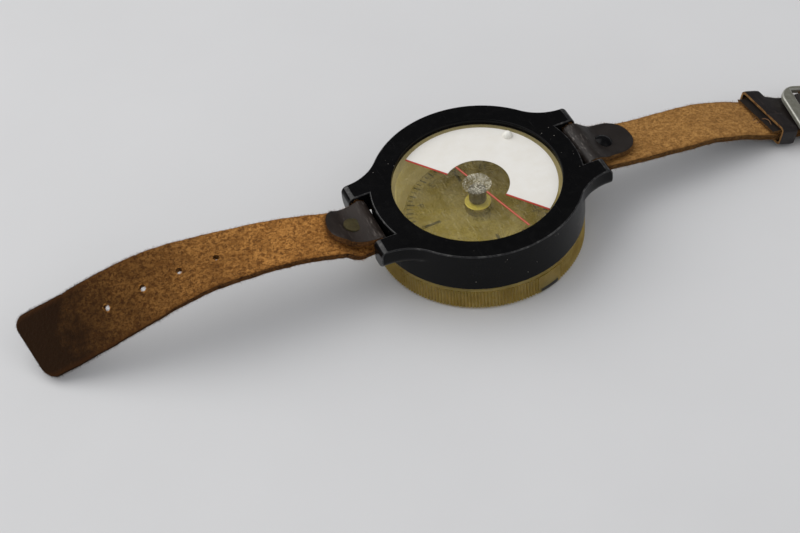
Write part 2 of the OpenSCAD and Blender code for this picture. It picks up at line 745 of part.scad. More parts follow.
module frame_plan() {
    long = buckle_in_l + crossbar_w + 2 * frame_corner_r;
    difference() {
        translate([long / 2 - buckle_in_l - crossbar_w, 0])
            rounded(long, buckle_in_w + 2 * arm_w, frame_corner_r);
        translate([-buckle_in_l, -buckle_in_w / 2]) square([big, buckle_in_w]);
        translate([0, -big / 2]) square([big, big]);
    }
}
module buckle_frame() {
    color([0.6, 0.61, 0.56]) at_short_bar() at_buckle()
        translate([0, buckle_shift, 0]) rotate([0, frame_lean, 0]) {
            translate([0, 0, -frame_t / 2]) linear_extrude(frame_t) frame_plan();
            rod_across(buckle_bar_r, buckle_in_w + 2 * arm_w);
        }
}
module buckle_prong() {
    color([0.58, 0.58, 0.54]) at_short_bar() at_buckle() rotate([0, prong_droop, 0]) difference() {
        union() {
            rod_across(eye_r, eye_w);
            rotate([0, 90, 0]) cylinder(h = prong_l - prong_r, r = prong_r);
            translate([prong_l - prong_r, 0, 0]) sphere(r = prong_r);
        }
        rod_across(buckle_loop_r, 2 * slot_w);
    }
}

case();
strap_bar_long();
strap_bar_short();
dust_seal();
snap_ring();
bezel();
bezel_index();
cell_cup();
cell_cover();
half_plate();
red_edge_lines();
course_line();
filler_plug();
pivot_boss();
pivot_stem();
pivot_needle();
compass_card();
card_hub();
ring_magnet();
jewel_cup();
strap_long();
rivet_long();
rivet_burr_long();
strap_short();
rivet_short();
rivet_burr_short();
keeper_loop();
buckle_frame();
buckle_prong();
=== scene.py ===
"""Looks of a wrist compass for aircrew that lies face down on a pale table.

Each sub-assembly is one class with its sizes in millimetres. It builds its meshes, dresses them with
procedural finishes and hands them to the CAD bodies that they move with.
"""

import logging
import math
from dataclasses import astuple, dataclass
from enum import Enum
from functools import cache

import bmesh
import bpy
import numpy as np
from bpy.types import ID, Material, Mesh, Node, NodeOutputs, NodeSocket, NodeTree, Object
from mathutils import Matrix, Vector


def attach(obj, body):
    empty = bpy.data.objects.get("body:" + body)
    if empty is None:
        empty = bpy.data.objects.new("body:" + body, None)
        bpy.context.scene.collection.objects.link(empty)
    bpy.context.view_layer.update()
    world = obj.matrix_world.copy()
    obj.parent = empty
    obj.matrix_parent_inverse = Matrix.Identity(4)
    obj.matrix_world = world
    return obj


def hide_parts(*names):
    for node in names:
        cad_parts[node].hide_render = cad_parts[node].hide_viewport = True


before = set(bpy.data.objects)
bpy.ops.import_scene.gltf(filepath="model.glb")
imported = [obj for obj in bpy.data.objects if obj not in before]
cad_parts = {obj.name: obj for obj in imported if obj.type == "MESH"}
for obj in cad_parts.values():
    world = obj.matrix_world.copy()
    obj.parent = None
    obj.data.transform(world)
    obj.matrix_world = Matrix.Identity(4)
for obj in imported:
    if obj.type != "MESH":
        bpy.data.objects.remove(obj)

LOG = logging.getLogger("compass")
MM = 0.001

Rgb = tuple[float, float, float]
Triple = tuple[float, float, float]
Profile = list[tuple[float, float]]


class Body(str, Enum):
    """CAD bodies that the pieces move with."""

    CASE = "case_body"
    BEZEL = "bezel_body"
    CARD = "card_body"
    LONG = "strap_long_body"
    SHORT = "strap_short_body"
    KEEPER = "keeper_body"
    BUCKLE = "buckle_body"
    PRONG = "prong_body"


# Node trees and materials


class Nodes:
    """Node tree whose nodes are added and filled by name."""

    def __init__(self, tree: NodeTree) -> None:
        """Keep the node tree."""
        self.tree = tree

    def put(self, value: object, socket: NodeSocket) -> None:
        """Link a socket to another one, or set its value.

        Args:
            value: A socket, a number or a colour.
            socket: The input that takes it.
        """
        if isinstance(value, NodeSocket):
            self.tree.links.new(value, socket)
        elif isinstance(value, tuple) and len(value) == 3 and socket.type == "RGBA":
            socket.default_value = (*value, 1.0)
        else:
            socket.default_value = value

    def fill(self, node: Node, inputs: dict[str, object]) -> None:
        """Link or set inputs of a node.

        Args:
            node: The node.
            inputs: Sockets or values by input name, with _ for spaces, or i0, i1 and so on by place.
        """
        for name, value in inputs.items():
            spot = int(name[1:]) if name[1:].isdigit() else name.replace("_", " ")
            self.put(value, node.inputs[spot])

    def node(self, kind: str, settings: dict[str, object] | None = None, **inputs: object) -> Node:
        """Add a node.

        Args:
            kind: Node type.
            settings: Properties of the node.
            inputs: Its inputs, as fill takes them.

        Returns:
            The node.
        """
        made = self.tree.nodes.new(kind)
        for key, value in (settings or {}).items():
            setattr(made, key, value)
        self.fill(made, inputs)
        return made

    def maths(self, how: str, first: object, second: object = 0.0) -> NodeSocket:
        """Result of an operation on two numbers."""
        return self.node("ShaderNodeMath", {"operation": how}, i0=first, i1=second).outputs[0]


class Shade(Nodes):
    """One node material, built around a Principled BSDF."""

    def __init__(self, name: str) -> None:
        """Start a material.

        Args:
            name: The material's name.
        """
        self.material = bpy.data.materials.new(name)
        self.material.use_nodes = True
        super().__init__(self.material.node_tree)
        self.tree.nodes.clear()
        self.output = self.node("ShaderNodeOutputMaterial")
        self.skin = self.node("ShaderNodeBsdfPrincipled")
        self.put(self.skin.outputs[0], self.output.inputs["Surface"])
        self.where = self.node("ShaderNodeTexCoord").outputs["Object"]

    def skin_set(self, **values: object) -> None:
        """Link or set inputs of the Principled BSDF by name."""
        self.fill(self.skin, values)

    def stretched(self, sizes: Triple, turn: float = 0.0) -> NodeSocket:
        """Object coordinates in millimetres, divided by a size along each axis.

        Args:
            sizes: Feature size along x, y and z in millimetres.
            turn: Turn about z in degrees before the division.

        Returns:
            The vector socket.
        """
        angles = (0.0, 0.0, math.radians(turn))
        scale = tuple(1.0 / (s * MM) for s in sizes)
        return self.node("ShaderNodeMapping", Vector=self.where, Rotation=angles, Scale=scale).outputs[0]

    def noise(
        self,
        size: float,
        detail: float = 4.0,
        rough: float = 0.6,
        twist: float = 0.0,
        vector: NodeSocket | None = None,
    ) -> NodeSocket:
        """Noise with a feature size in millimetres.

        Args:
            size: Feature size, or a factor on a given vector.
            detail: Octaves.
            rough: Weight of the finer octaves.
            twist: Distortion.
            vector: Coordinates to use in place of the object's own.

        Returns:
            The factor socket.
        """
        node = self.node("ShaderNodeTexNoise", Detail=detail, Roughness=rough, Distortion=twist)
        self.put(1.0 / size if vector else 1.0 / (size * MM), node.inputs["Scale"])
        self.put(vector or self.where, node.inputs["Vector"])
        return node.outputs[0]

    def specks(self, size: float, radius: float) -> NodeSocket:
        """Scattered round specks, by spacing in millimetres and radius as a fraction of it; 1 inside."""
        node = self.node("ShaderNodeTexVoronoi", Vector=self.where, Scale=1.0 / (size * MM))
        return self.span(node.outputs["Distance"], radius, radius * 0.6)

    def span(
        self, value: object, low: float, high: float, out_low: float = 0.0, out_high: float = 1.0
    ) -> NodeSocket:
        """Map a range of values to another one, clamped.

        Args:
            value: The value.
            low: Start of its range.
            high: End of its range.
            out_low: Result at the start.
            out_high: Result at the end.

        Returns:
            The mapped value.
        """
        ends = {"From_Min": low, "From_Max": high, "To_Min": out_low, "To_Max": out_high}
        return self.node("ShaderNodeMapRange", Value=value, **ends).outputs[0]

    def mix(self, factor: object, first: object, second: object) -> NodeSocket:
        """Mix two colours.

        Args:
            factor: Share of the second colour.
            first: First colour.
            second: Second colour.

        Returns:
            The colour socket.
        """
        node = self.node("ShaderNodeMix", {"data_type": "RGBA"}, Factor=factor)
        colours = [s for s in node.inputs if s.type == "RGBA"]
        self.put(first, colours[0])
        self.put(second, colours[1])
        return next(s for s in node.outputs if s.type == "RGBA")

    def over(self, base: object, colour: object, mask: object, share: float) -> NodeSocket:
        """Lay a colour with a share of cover over a base where a mask is high."""
        return self.mix(self.maths("MULTIPLY", mask, share), base, colour)

    def named(self, name: str) -> NodeSocket:
        """Value of a mesh attribute, by its name."""
        return self.node("ShaderNodeAttribute", {"attribute_name": name}).outputs["Fac"]

    def bump(
        self, height: object, depth: float, strength: float, after: NodeSocket | None = None
    ) -> NodeSocket:
        """Bump from a height value.

        Args:
            height: Height from 0 to 1.
            depth: Height in millimetres.
            strength: Strength of the effect.
            after: Normal to build on.

        Returns:
            The normal socket.
        """
        node = self.node("ShaderNodeBump", Strength=strength, Distance=depth * MM, Height=height)
        if after is not None:
            self.put(after, node.inputs["Normal"])
        return node.outputs[0]

    def see_through(self, share: object, tint: object) -> None:
        """Let part of the light straight through the surface.

        Args:
            share: Share of the light that goes through.
            tint: Colour that it takes on.
        """
        clear = self.node("ShaderNodeBsdfTransparent", Color=tint)
        blend = self.node("ShaderNodeMixShader", i0=share, i1=self.skin.outputs[0], i2=clear.outputs[0])
        self.put(blend.outputs[0], self.output.inputs["Surface"])

    def facing(self, ior: float) -> NodeSocket:
        """Share of light that a surface reflects.

        Args:
            ior: Refractive index.

        Returns:
            The reflected share.
        """
        node = self.node("ShaderNodeLayerWeight", Blend=0.5)
        grazing = self.maths("POWER", node.outputs["Facing"], 5.0)
        straight = ((ior - 1.0) / (ior + 1.0)) ** 2
        return self.maths("ADD", self.maths("MULTIPLY", grazing, 0.9), straight)


@dataclass(frozen=True)
class Look:
    """Base of the finishes: a named material whose nodes each kind of finish sets up."""

    name: str

    def build(self) -> Material:
        """Make the node material."""
        shade = Shade(self.name)
        self.dress(shade)
        return shade.material

    def dress(self, s: Shade) -> None:
        """Set up the nodes of the material s; each kind of finish has its own."""
        raise NotImplementedError


@dataclass(frozen=True)
class Moulding(Look):
    """Black moulding or enamel with dust, fine scratches and worn patches; the case's lighter edge copy is
    partly wear and partly painted highlight.
    """

    colour: Rgb
    worn: Rgb
    wear: float
    shine: float
    specular: float

    def dress(self, s: Shade) -> None:
        """Set up the nodes.

        Args:
            s: The material.
        """
        cloud = s.noise(9.0, 5.0, 0.65)
        fine = s.noise(0.35, 3.0, 0.7)
        line = s.noise(1.0, 2.0, 0.5, 0.4, s.stretched((0.12, 7.0, 0.12), 24.0))
        scratch = s.span(line, 0.71, 0.75)
        dust = s.maths("MULTIPLY", s.specks(1.7, 0.085), s.span(s.noise(3.1, 1.0), 0.53, 0.6))
        scuff = s.span(s.noise(2.2, 6.0, 0.75), 0.5, 0.72)
        base = s.over(self.colour, self.worn, scratch, 0.12)
        base = s.over(base, self.worn, scuff, self.wear)
        base = s.over(base, (0.33, 0.31, 0.27), dust, 0.8)
        gloss = s.span(cloud, 0.3, 0.7, self.shine, self.shine + 0.16)
        dull = s.maths("ADD", gloss, s.maths("MULTIPLY", dust, 0.3))
        s.skin_set(Base_Color=base, Roughness=dull, Specular_IOR_Level=self.specular)
        s.skin_set(Normal=s.bump(fine, 0.012, 0.35))


@dataclass(frozen=True)
class YellowClear(Look):
    """Clear moulding that has yellowed with age."""

    colour: Rgb
    deep: Rgb
    tint: Rgb
    through: float
    rough: float

    def dress(self, s: Shade) -> None:
        """Set up the nodes.

        Args:
            s: The material.
        """
        cloud = s.noise(7.0, 4.0, 0.6)
        dirt = s.span(s.noise(0.8, 4.0, 0.7), 0.55, 0.8)
        base = s.mix(s.span(cloud, 0.3, 0.7), self.colour, self.deep)
        base = s.over(base, (0.12, 0.09, 0.03), dirt, 0.35)
        s.skin_set(Base_Color=base, Roughness=s.span(cloud, 0.3, 0.7, self.rough, self.rough + 0.12))
        s.skin_set(Specular_IOR_Level=0.4, Subsurface_Weight=0.25, Subsurface_Scale=0.004)
        s.skin_set(Subsurface_Radius=(1.0, 0.8, 0.25))
        s.see_through(s.span(cloud, 0.3, 0.7, self.through - 0.06, self.through + 0.06), self.tint)


@dataclass(frozen=True)
class ClearPlate(Look):
    """Clear sheet with fine scratches and a haze of age, which may glow in its haze colour as painted light.
    """

    tint: Rgb
    haze: Rgb
    haze_share: float
    ior: float
    grit: float = 0.0
    glow: float = 0.0
    cloudy: float = 0.0

    def dress(self, s: Shade) -> None:
        """Set up the nodes.

        Args:
            s: The material.
        """
        first = s.noise(1.0, 2.0, 0.55, 1.6, s.stretched((0.25, 5.0, 1.0), 35.0))
        second = s.noise(1.0, 2.0, 0.55, 1.6, s.stretched((0.25, 4.0, 1.0), -50.0))
        scratch = s.span(s.maths("MAXIMUM", first, second), 0.63, 0.71)
        cloud = s.span(s.noise(5.0, 5.0, 0.62, 0.6), 0.42, 0.72)
        milk = s.maths("ADD", s.maths("MULTIPLY", cloud, self.haze_share), self.cloudy)
        milk = s.maths("ADD", milk, s.maths("MULTIPLY", scratch, 0.3))
        grain = s.span(s.noise(0.34, 2.0, 0.6), 0.55, 0.66)
        milk = s.maths("ADD", milk, s.maths("MULTIPLY", grain, self.grit))
        s.skin_set(Base_Color=s.mix(cloud, self.haze, tuple(c * 0.8 for c in self.haze)), Roughness=0.08)
        # Emission in the haze colour: painted light, set only for the capsule wall.
        s.skin_set(Emission_Color=(*self.haze, 1.0), Emission_Strength=self.glow)
        solid = s.maths("MINIMUM", s.maths("ADD", milk, s.facing(self.ior)), 1.0)
        s.see_through(s.maths("SUBTRACT", 1.0, solid), self.tint)


@dataclass(frozen=True)
class Murk(Look):
    """Yellowed liquid as the ground that is seen from the back; from the front it is clear."""

    dark: Rgb
    light: Rgb
    through: float

    def dress(self, s: Shade) -> None:
        """Set up the nodes.

        Args:
            s: The material.
        """
        broad = s.noise(11.0, 4.0, 0.62, 0.8)
        streak = s.noise(1.0, 4.0, 0.6, 1.2, s.stretched((1.6, 7.0, 4.0), 40.0))
        mixed = s.maths("ADD", s.maths("MULTIPLY", broad, 0.65), s.maths("MULTIPLY", streak, 0.35))
        base = s.mix(s.span(mixed, 0.36, 0.64), self.dark, self.light)
        spots = s.span(s.noise(0.9, 3.0, 0.7), 0.64, 0.72)
        base = s.over(base, (0.08, 0.07, 0.03), spots, 0.35)
        # Sparse bright specks laid over the liquid's ground: painted glints.
        painted_glint = s.maths("MULTIPLY", s.specks(5.0, 0.2), s.span(s.noise(8.0, 1.0), 0.45, 0.5))
        base = s.over(base, (0.95, 0.88, 0.72), painted_glint, 0.85)
        s.skin_set(Base_Color=base, Roughness=s.span(streak, 0.3, 0.7, 0.25, 0.5), Specular_IOR_Level=0.3)
        behind = s.node("ShaderNodeNewGeometry").outputs["Backfacing"]
        s.see_through(s.maths("MULTIPLY", behind, self.through), (0.96, 0.93, 0.78))


@dataclass(frozen=True)
class Paint(Look):
    """Printed or moulded flat colour with a little unevenness."""

    colour: Rgb
    stain: Rgb
    rough: float

    def dress(self, s: Shade) -> None:
        """Set up the nodes.

        Args:
            s: The material.
        """
        cloud = s.span(s.noise(4.0, 5.0, 0.65), 0.35, 0.75)
        grain = s.span(s.noise(0.3, 3.0, 0.7), 0.62, 0.78)
        base = s.over(self.colour, self.stain, cloud, 0.5)
        base = s.over(base, self.stain, grain, 0.5)
        s.skin_set(Base_Color=base, Roughness=s.span(cloud, 0.0, 1.0, self.rough, self.rough + 0.1))
        s.skin_set(Normal=s.bump(cloud, 0.01, 0.3))


@dataclass(frozen=True)
class Suede(Look):
    """Fleshy side of the strap: tan near the case, darker towards the tip, with a coarse speckle."""

    light: Rgb
    mid: Rgb
    dark: Rgb
    tip: Rgb
    fade: tuple[float, float]
    flecks: float

    def dress(self, s: Shade) -> None:
        """Set up the nodes.

        Args:
            s: The material.
        """
        grain = s.noise(1.0, 4.0, 0.7, 0.5)
        fibre = s.noise(1.0, 4.0, 0.7, 0.8, s.stretched((1.5, 0.8, 0.8), 30.0))
        patch = s.noise(6.0, 4.0, 0.65)
        fleck = s.span(s.noise(0.85, 3.0, 0.66, 0.7), 0.5, 0.6)
        base = s.mix(s.span(s.maths("ADD", grain, fibre), 0.88, 1.1), self.mid, self.light)
        base = s.over(base, self.mid, s.span(patch, 0.45, 0.7), 0.6)
        base = s.over(base, self.dark, fleck, self.flecks)
        far = s.maths("ADD", s.named("along"), s.span(patch, 0.2, 0.8, -7.0, 7.0))
        base = s.mix(s.span(far, self.fade[0], self.fade[1]), base, self.tip)
        rim = s.span(s.named("rim"), 0.82, 1.0)
        base = s.over(base, self.dark, rim, 0.45)
        s.skin_set(Base_Color=base, Roughness=0.92, Specular_IOR_Level=0.08)
        s.skin_set(Sheen_Weight=0.06, Sheen_Roughness=0.6, Sheen_Tint=(0.8, 0.62, 0.4, 1.0))
        bumped = s.bump(grain, 0.5, 0.9)
        s.skin_set(Normal=s.bump(fibre, 0.35, 0.7, bumped))


@dataclass(frozen=True)
class Grain(Look):
    """Smooth dark outer side of the leather, cracked and scuffed at its folds."""

    colour: Rgb
    scuff: Rgb
    scuff_share: float
    shine: float

    def dress(self, s: Shade) -> None:
        """Set up the nodes.

        Args:
            s: The material.
        """
        cloud = s.noise(5.0, 5.0, 0.65)
        pore = s.noise(0.4, 3.0, 0.6)
        crease = s.noise(1.0, 4.0, 0.7, 1.0, s.stretched((0.35, 3.0, 1.5), 8.0))
        worn = s.maths("MULTIPLY", s.span(crease, 0.56, 0.7), s.span(s.named("fold"), 0.2, 0.9))
        base = s.mix(s.span(cloud, 0.3, 0.75), self.colour, tuple(c * 1.7 for c in self.colour))
        base = s.over(base, self.scuff, worn, self.scuff_share)
        s.skin_set(Base_Color=base, Roughness=s.span(cloud, 0.3, 0.7, self.shine, self.shine + 0.2))
        s.skin_set(Specular_IOR_Level=0.4)
        bumped = s.bump(pore, 0.05, 0.4)
        s.skin_set(Normal=s.bump(crease, 0.16, 0.45, bumped))


@dataclass(frozen=True)
class RawEdge(Look):
    """Cut edge of the leather, fibrous and uneven."""

    light: Rgb
    dark: Rgb
    tip: Rgb
    fade: tuple[float, float]

    def dress(self, s: Shade) -> None:
        """Set up the nodes.

        Args:
            s: The material.
        """
        layer = s.noise(1.0, 4.0, 0.7, 0.5, s.stretched((2.5, 2.0, 0.35)))
        patch = s.noise(1.6, 4.0, 0.7)
        base = s.mix(s.span(s.maths("ADD", layer, patch), 0.8, 1.2), self.dark, self.light)
        base = s.mix(s.span(s.named("along"), self.fade[0], self.fade[1]), base, self.tip)
        s.skin_set(Base_Color=base, Roughness=0.9, Specular_IOR_Level=0.1)
        s.skin_set(Normal=s.bump(layer, 0.3, 0.8))


@dataclass(frozen=True)
class Metal(Look):
    """Bare or tarnished metal with fine scratches."""

    colour: Rgb
    tarnish: Rgb
    rough: float
    metallic: float
    spot: Rgb
    spot_share: float

    def dress(self, s: Shade) -> None:
        """Set up the nodes.

        Args:
            s: The material.
        """
        cloud = s.noise(1.8, 5.0, 0.68)
        line = s.noise(1.0, 2.0, 0.5, 0.0, s.stretched((0.1, 4.0, 0.1), 70.0))
        spots = s.span(s.noise(1.1, 3.0, 0.6), 0.58, 0.68)
        base = s.mix(s.span(cloud, 0.35, 0.7), self.colour, self.tarnish)
        base = s.over(base, self.spot, spots, self.spot_share)
        s.skin_set(Base_Color=base, Metallic=self.metallic)
        s.skin_set(Roughness=s.span(cloud, 0.3, 0.75, self.rough, self.rough + 0.22))
        s.skin_set(Normal=s.bump(line, 0.01, 0.4))


# Distances beyond the end of every strap, for a piece whose colour doesn't change along it.
NO_FADE = (400.0, 500.0)


class Finish(Enum):
    """All finishes by role."""

    CASE = Moulding("black_moulding", (0.0036, 0.0036, 0.0039), (0.10, 0.098, 0.095), 0.022, 0.14, 0.09)
    # Lighter edge copy of the case finish: partly edge wear, partly a painted highlight on the rounded edges.
    CASE_EDGE = Moulding("black_moulding_edge", (0.016, 0.016, 0.017), (0.2, 0.197, 0.19), 0.55, 0.22, 0.4)
    # Dull, non-reflecting black for the strap slot's inner wall: painted shade.
    CASE_DULL = Moulding("black_moulding_dull", (0.003, 0.003, 0.003), (0.02, 0.02, 0.02), 0.1, 0.8, 0.0)
    BEZEL = YellowClear(
        "yellowed_bezel", (0.5, 0.385, 0.135), (0.34, 0.255, 0.075), (0.95, 0.82, 0.42), 0.55, 0.25
    )
    PLATE_CLEAR = ClearPlate("capsule_plate", (0.98, 0.955, 0.8), (0.66, 0.59, 0.38), 0.13, 1.42)
    UNDER_CLEAR = ClearPlate("capsule_inside", (0.98, 0.955, 0.8), (0.6, 0.52, 0.3), 0.03, 1.12)
    # The capsule wall glows faintly in its haze colour: painted light carried through the clear wall.
    WALL_CLEAR = ClearPlate("capsule_wall", (0.9, 0.86, 0.66), (0.66, 0.59, 0.38), 0.25, 1.45, 0.0, 0.16, 0.6)
    BOSS_CLEAR = ClearPlate("pivot_button", (0.9, 0.87, 0.7), (0.9, 0.85, 0.68), 0.4, 1.5, 0.7)
    CARD_CLEAR = ClearPlate("card_clear", (0.97, 0.95, 0.78), (0.5, 0.44, 0.24), 0.6, 1.15, 0.0, 0.0, 0.2)
    MURK = Murk("yellowed_liquid", (0.56, 0.49, 0.28), (0.95, 0.9, 0.7), 0.95)
    WHITE = Paint("white_plate", (0.82, 0.8, 0.755), (0.74, 0.7, 0.62), 0.3)
    PLUG = Paint("white_plug", (0.88, 0.86, 0.8), (0.74, 0.7, 0.6), 0.3)
    RED = Paint("red_line", (0.5, 0.035, 0.02), (0.36, 0.03, 0.015), 0.4)
    # Pale core of the course line: a painted highlight.
    PINK = Paint("red_line_worn", (0.6, 0.2, 0.14), (0.5, 0.12, 0.08), 0.4)
    INK = Paint("dark_marks", (0.05, 0.045, 0.02), (0.09, 0.08, 0.04), 0.6)
    INDEX = Paint("black_index", (0.012, 0.011, 0.01), (0.03, 0.027, 0.02), 0.45)
    STEM = Paint("dark_stem", (0.016, 0.008, 0.003), (0.04, 0.022, 0.009), 0.4)
    FELT = Paint("dark_felt", (0.06, 0.05, 0.04), (0.03, 0.025, 0.02), 0.9)
    JEWEL = Paint("bearing_stone", (0.3, 0.03, 0.06), (0.2, 0.02, 0.05), 0.1)
    HUB = Metal("yellow_hub", (0.9, 0.82, 0.3), (0.7, 0.62, 0.2), 0.35, 0.2, (0.3, 0.3, 0.1), 0.2)
    HUB_SIDE = YellowClear(
        "yellow_hub_side", (0.5, 0.45, 0.18), (0.4, 0.36, 0.13), (0.95, 0.88, 0.55), 0.75, 0.3
    )
    MAGNET = Metal(
        "magnet_steel", (0.1, 0.095, 0.075), (0.06, 0.057, 0.045), 0.5, 0.6, (0.1, 0.05, 0.02), 0.3
    )
    STEEL = Metal("plain_steel", (0.42, 0.42, 0.41), (0.2, 0.19, 0.18), 0.35, 1.0, (0.16, 0.09, 0.05), 0.4)
    NICKEL = Metal("dull_nickel", (0.36, 0.355, 0.3), (0.24, 0.235, 0.19), 0.5, 0.6, (0.16, 0.15, 0.11), 0.3)
    # Lighter nickel for rounded edges: partly worn plating, partly a painted highlight.
    NICKEL_EDGE = Metal(
        "worn_nickel", (0.72, 0.72, 0.66), (0.5, 0.5, 0.44), 0.38, 0.75, (0.3, 0.3, 0.25), 0.2
    )
    BRASS = Metal(
        "tarnished_brass", (0.13, 0.105, 0.045), (0.06, 0.048, 0.022), 0.4, 0.6, (0.03, 0.14, 0.1), 0.5
    )
    ENAMEL = Moulding("black_enamel", (0.004, 0.004, 0.0045), (0.05, 0.05, 0.05), 0.06, 0.16, 0.12)
    SUEDE_LONG = Suede(
        "suede_long", (0.52, 0.24, 0.06), (0.25, 0.1, 0.02), (0.085, 0.028, 0.006), (0.02, 0.0075, 0.0022),
        (24.0, 84.0), 0.72,
    )
    SUEDE_SHORT = Suede(
        "suede_short", (0.44, 0.226, 0.066), (0.25, 0.117, 0.03), (0.11, 0.045, 0.012), (0.2, 0.1, 0.035),
        NO_FADE, 0.45,
    )
    GRAIN_LONG = Grain("grain_long", (0.017, 0.011, 0.0085), (0.22, 0.19, 0.17), 0.8, 0.42)
    GRAIN_SHORT = Grain("grain_short", (0.014, 0.0105, 0.009), (0.24, 0.21, 0.19), 0.85, 0.36)
    KEEPER = Grain("keeper_grain", (0.011, 0.0085, 0.0085), (0.3, 0.2, 0.16), 0.5, 0.4)
    EDGE_LONG = RawEdge(
        "raw_edge_long", (0.11, 0.048, 0.015), (0.025, 0.011, 0.005), (0.014, 0.007, 0.003), (40.0, 90.0)
    )
    EDGE_SHORT = RawEdge(
        "raw_edge_short", (0.15, 0.075, 0.024), (0.035, 0.017, 0.007), (0.1, 0.05, 0.02), NO_FADE
    )
    EDGE_KEEPER = RawEdge(
        "raw_edge_keeper", (0.36, 0.2, 0.07), (0.1, 0.045, 0.02), (0.1, 0.05, 0.02), NO_FADE
    )
    THREAD = Paint("brown_thread", (0.2, 0.1, 0.045), (0.1, 0.05, 0.02), 0.8)


@cache
def material_of(finish: Finish) -> Material:
    """Material of a finish, made when it is first asked for."""
    return finish.value.build()


# Meshes

Faces = list[tuple[int, ...]]
SHARP = 35.0
SHARP_ROUNDED = 60.0


def linked(name: str, data: ID) -> Object:
    """New object in the scene.

    Args:
        name: Object name.
        data: Its mesh, text, light or camera.

    Returns:
        The object.
    """
    obj = bpy.data.objects.new(name, data)
    bpy.context.scene.collection.objects.link(obj)
    return obj


def turn_about(axis: str, degrees: float) -> Matrix:
    """Turn about an axis by an angle in degrees."""
    return Matrix.Rotation(math.radians(degrees), 4, axis)


def mesh_object(
    name: str,
    points: np.ndarray,
    faces: Faces,
    finishes: list[Finish],
    slots: list[int] | None = None,
    sharp: float = SHARP,
) -> Object:
    """Make a mesh object from points in millimetres.

    Args:
        name: Object name.
        points: Points, one per row.
        faces: Point indices of each face.
        finishes: Finishes of the material slots.
        slots: Slot of each face.
        sharp: Angle in degrees above which an edge stays sharp.

    Returns:
        The object, at the origin.
    """
    mesh = bpy.data.meshes.new(name)
    mesh.from_pydata((np.asarray(points, float) * MM).tolist(), [], faces)
    for finish in finishes:
        mesh.materials.append(material_of(finish))
    if slots is not None:
        mesh.polygons.foreach_set("material_index", np.asarray(slots, np.int32))
    work = bmesh.new()
    work.from_mesh(mesh)
    bmesh.ops.recalc_face_normals(work, faces=work.faces)
    work.to_mesh(mesh)
    work.free()
    smooth(mesh, sharp)
    return linked(name, mesh)


def smooth(mesh: Mesh, sharp: float) -> None:
    """Shade a mesh smooth except at its sharp edges.

    Args:
        mesh: The mesh.
        sharp: Angle in degrees above which an edge stays sharp.
    """
    mesh.polygons.foreach_set("use_smooth", np.ones(len(mesh.polygons), bool))
    mesh.set_sharp_from_angle(angle=math.radians(sharp))
    mesh.update()


def lathe(
    name: str,
    profile: Profile,
    finishes: list[Finish],
    segments: int = 192,
    slots: list[int] | None = None,
    sharp: float = SHARP,
) -> Object:
    """Turn a closed profile about the compass axis.

    Args:
        name: Object name.
        profile: Corners as (radius, height); radius 0 closes on the axis.
        finishes: Finishes of the material slots.
        segments: Steps round the axis.
        slots: Slot of the face that starts at each corner.
        sharp: Angle in degrees above which an edge stays sharp.

    Returns:
        The object.
    """
    points: list[tuple[float, float, float]] = []
    rings: list[list[int]] = []
    for r, z in profile:
        count = 1 if r == 0.0 else segments
        rings.append([len(points) + (k % count) for k in range(segments)])
        for k in range(count):
            a = 2.0 * math.pi * k / segments
            points.append((r * math.cos(a), r * math.sin(a), z))
    faces, face_slots = [], []
    for i in range(len(rings)):
        low, high = rings[i], rings[(i + 1) % len(rings)]
        if len(set(low)) == 1 and len(set(high)) == 1:
            continue
        for k in range(segments):
            n = (k + 1) % segments
            corners = list(dict.fromkeys((low[k], low[n], high[n], high[k])))
            faces.append(tuple(corners))
            face_slots.append(slots[i] if slots else 0)
    return mesh_object(name, np.array(points), faces, finishes, face_slots, sharp)


def rounded_profile(corners: Profile, radius: float) -> Profile:
    """Round the corners of a closed profile that are off the axis.

    Args:
        corners: Corners as (radius, height).
        radius: Rounding radius.

    Returns:
        The rounded profile.
    """
    steps, most = 3, 0.45
    done: Profile = []
    for i, (r, z) in enumerate(corners):
        here = Vector((r, z))
        back = Vector(corners[i - 1]) - here
        on = Vector(corners[(i + 1) % len(corners)]) - here
        if r == 0.0 or back.length == 0.0 or on.length == 0.0:
            done.append((r, z))
            continue
        reach = min(radius, back.length * most, on.length * most)
        start, end = here + back.normalized() * reach, here + on.normalized() * reach
        for k in range(steps + 1):
            t = k / steps
            p = start * (1 - t) ** 2 + here * (2 * t * (1 - t)) + end * t**2
            done.append((p.x, p.y))
    return done


def prism(name: str, outline: Profile, low: float, high: float, finishes: list[Finish]) -> Object:
    """Straight prism over an outline.

    Args:
        name: Object name.
        outline: Corners as (x, y).
        low: Height of its underside.
        high: Height of its top.
        finishes: Finishes of the material slots.

    Returns:
        The object.
    """
    n = len(outline)
    points = np.array([(x, y, z) for z in (low, high) for x, y in outline])
    faces = [tuple(range(n)), tuple(range(n, 2 * n))]
    faces += [(i, (i + 1) % n, n + (i + 1) % n, n + i) for i in range(n)]
    return mesh_object(name, points, faces, finishes)


def oblong(x0: float, x1: float, y0: float, y1: float) -> Profile:
    """Corners of an oblong between two first and two second coordinates."""
    return [(x0, y0), (x1, y0), (x1, y1), (x0, y1)]


def arc(cx: float, cy: float, r: float, start: float, end: float, steps: int) -> Profile:
    """Points on an arc by centre, radius, start and end angle in degrees, and number of steps."""
    angles = [math.radians(start + (end - start) * k / steps) for k in range(steps + 1)]
    return [(cx + r * math.cos(a), cy + r * math.sin(a)) for a in angles]


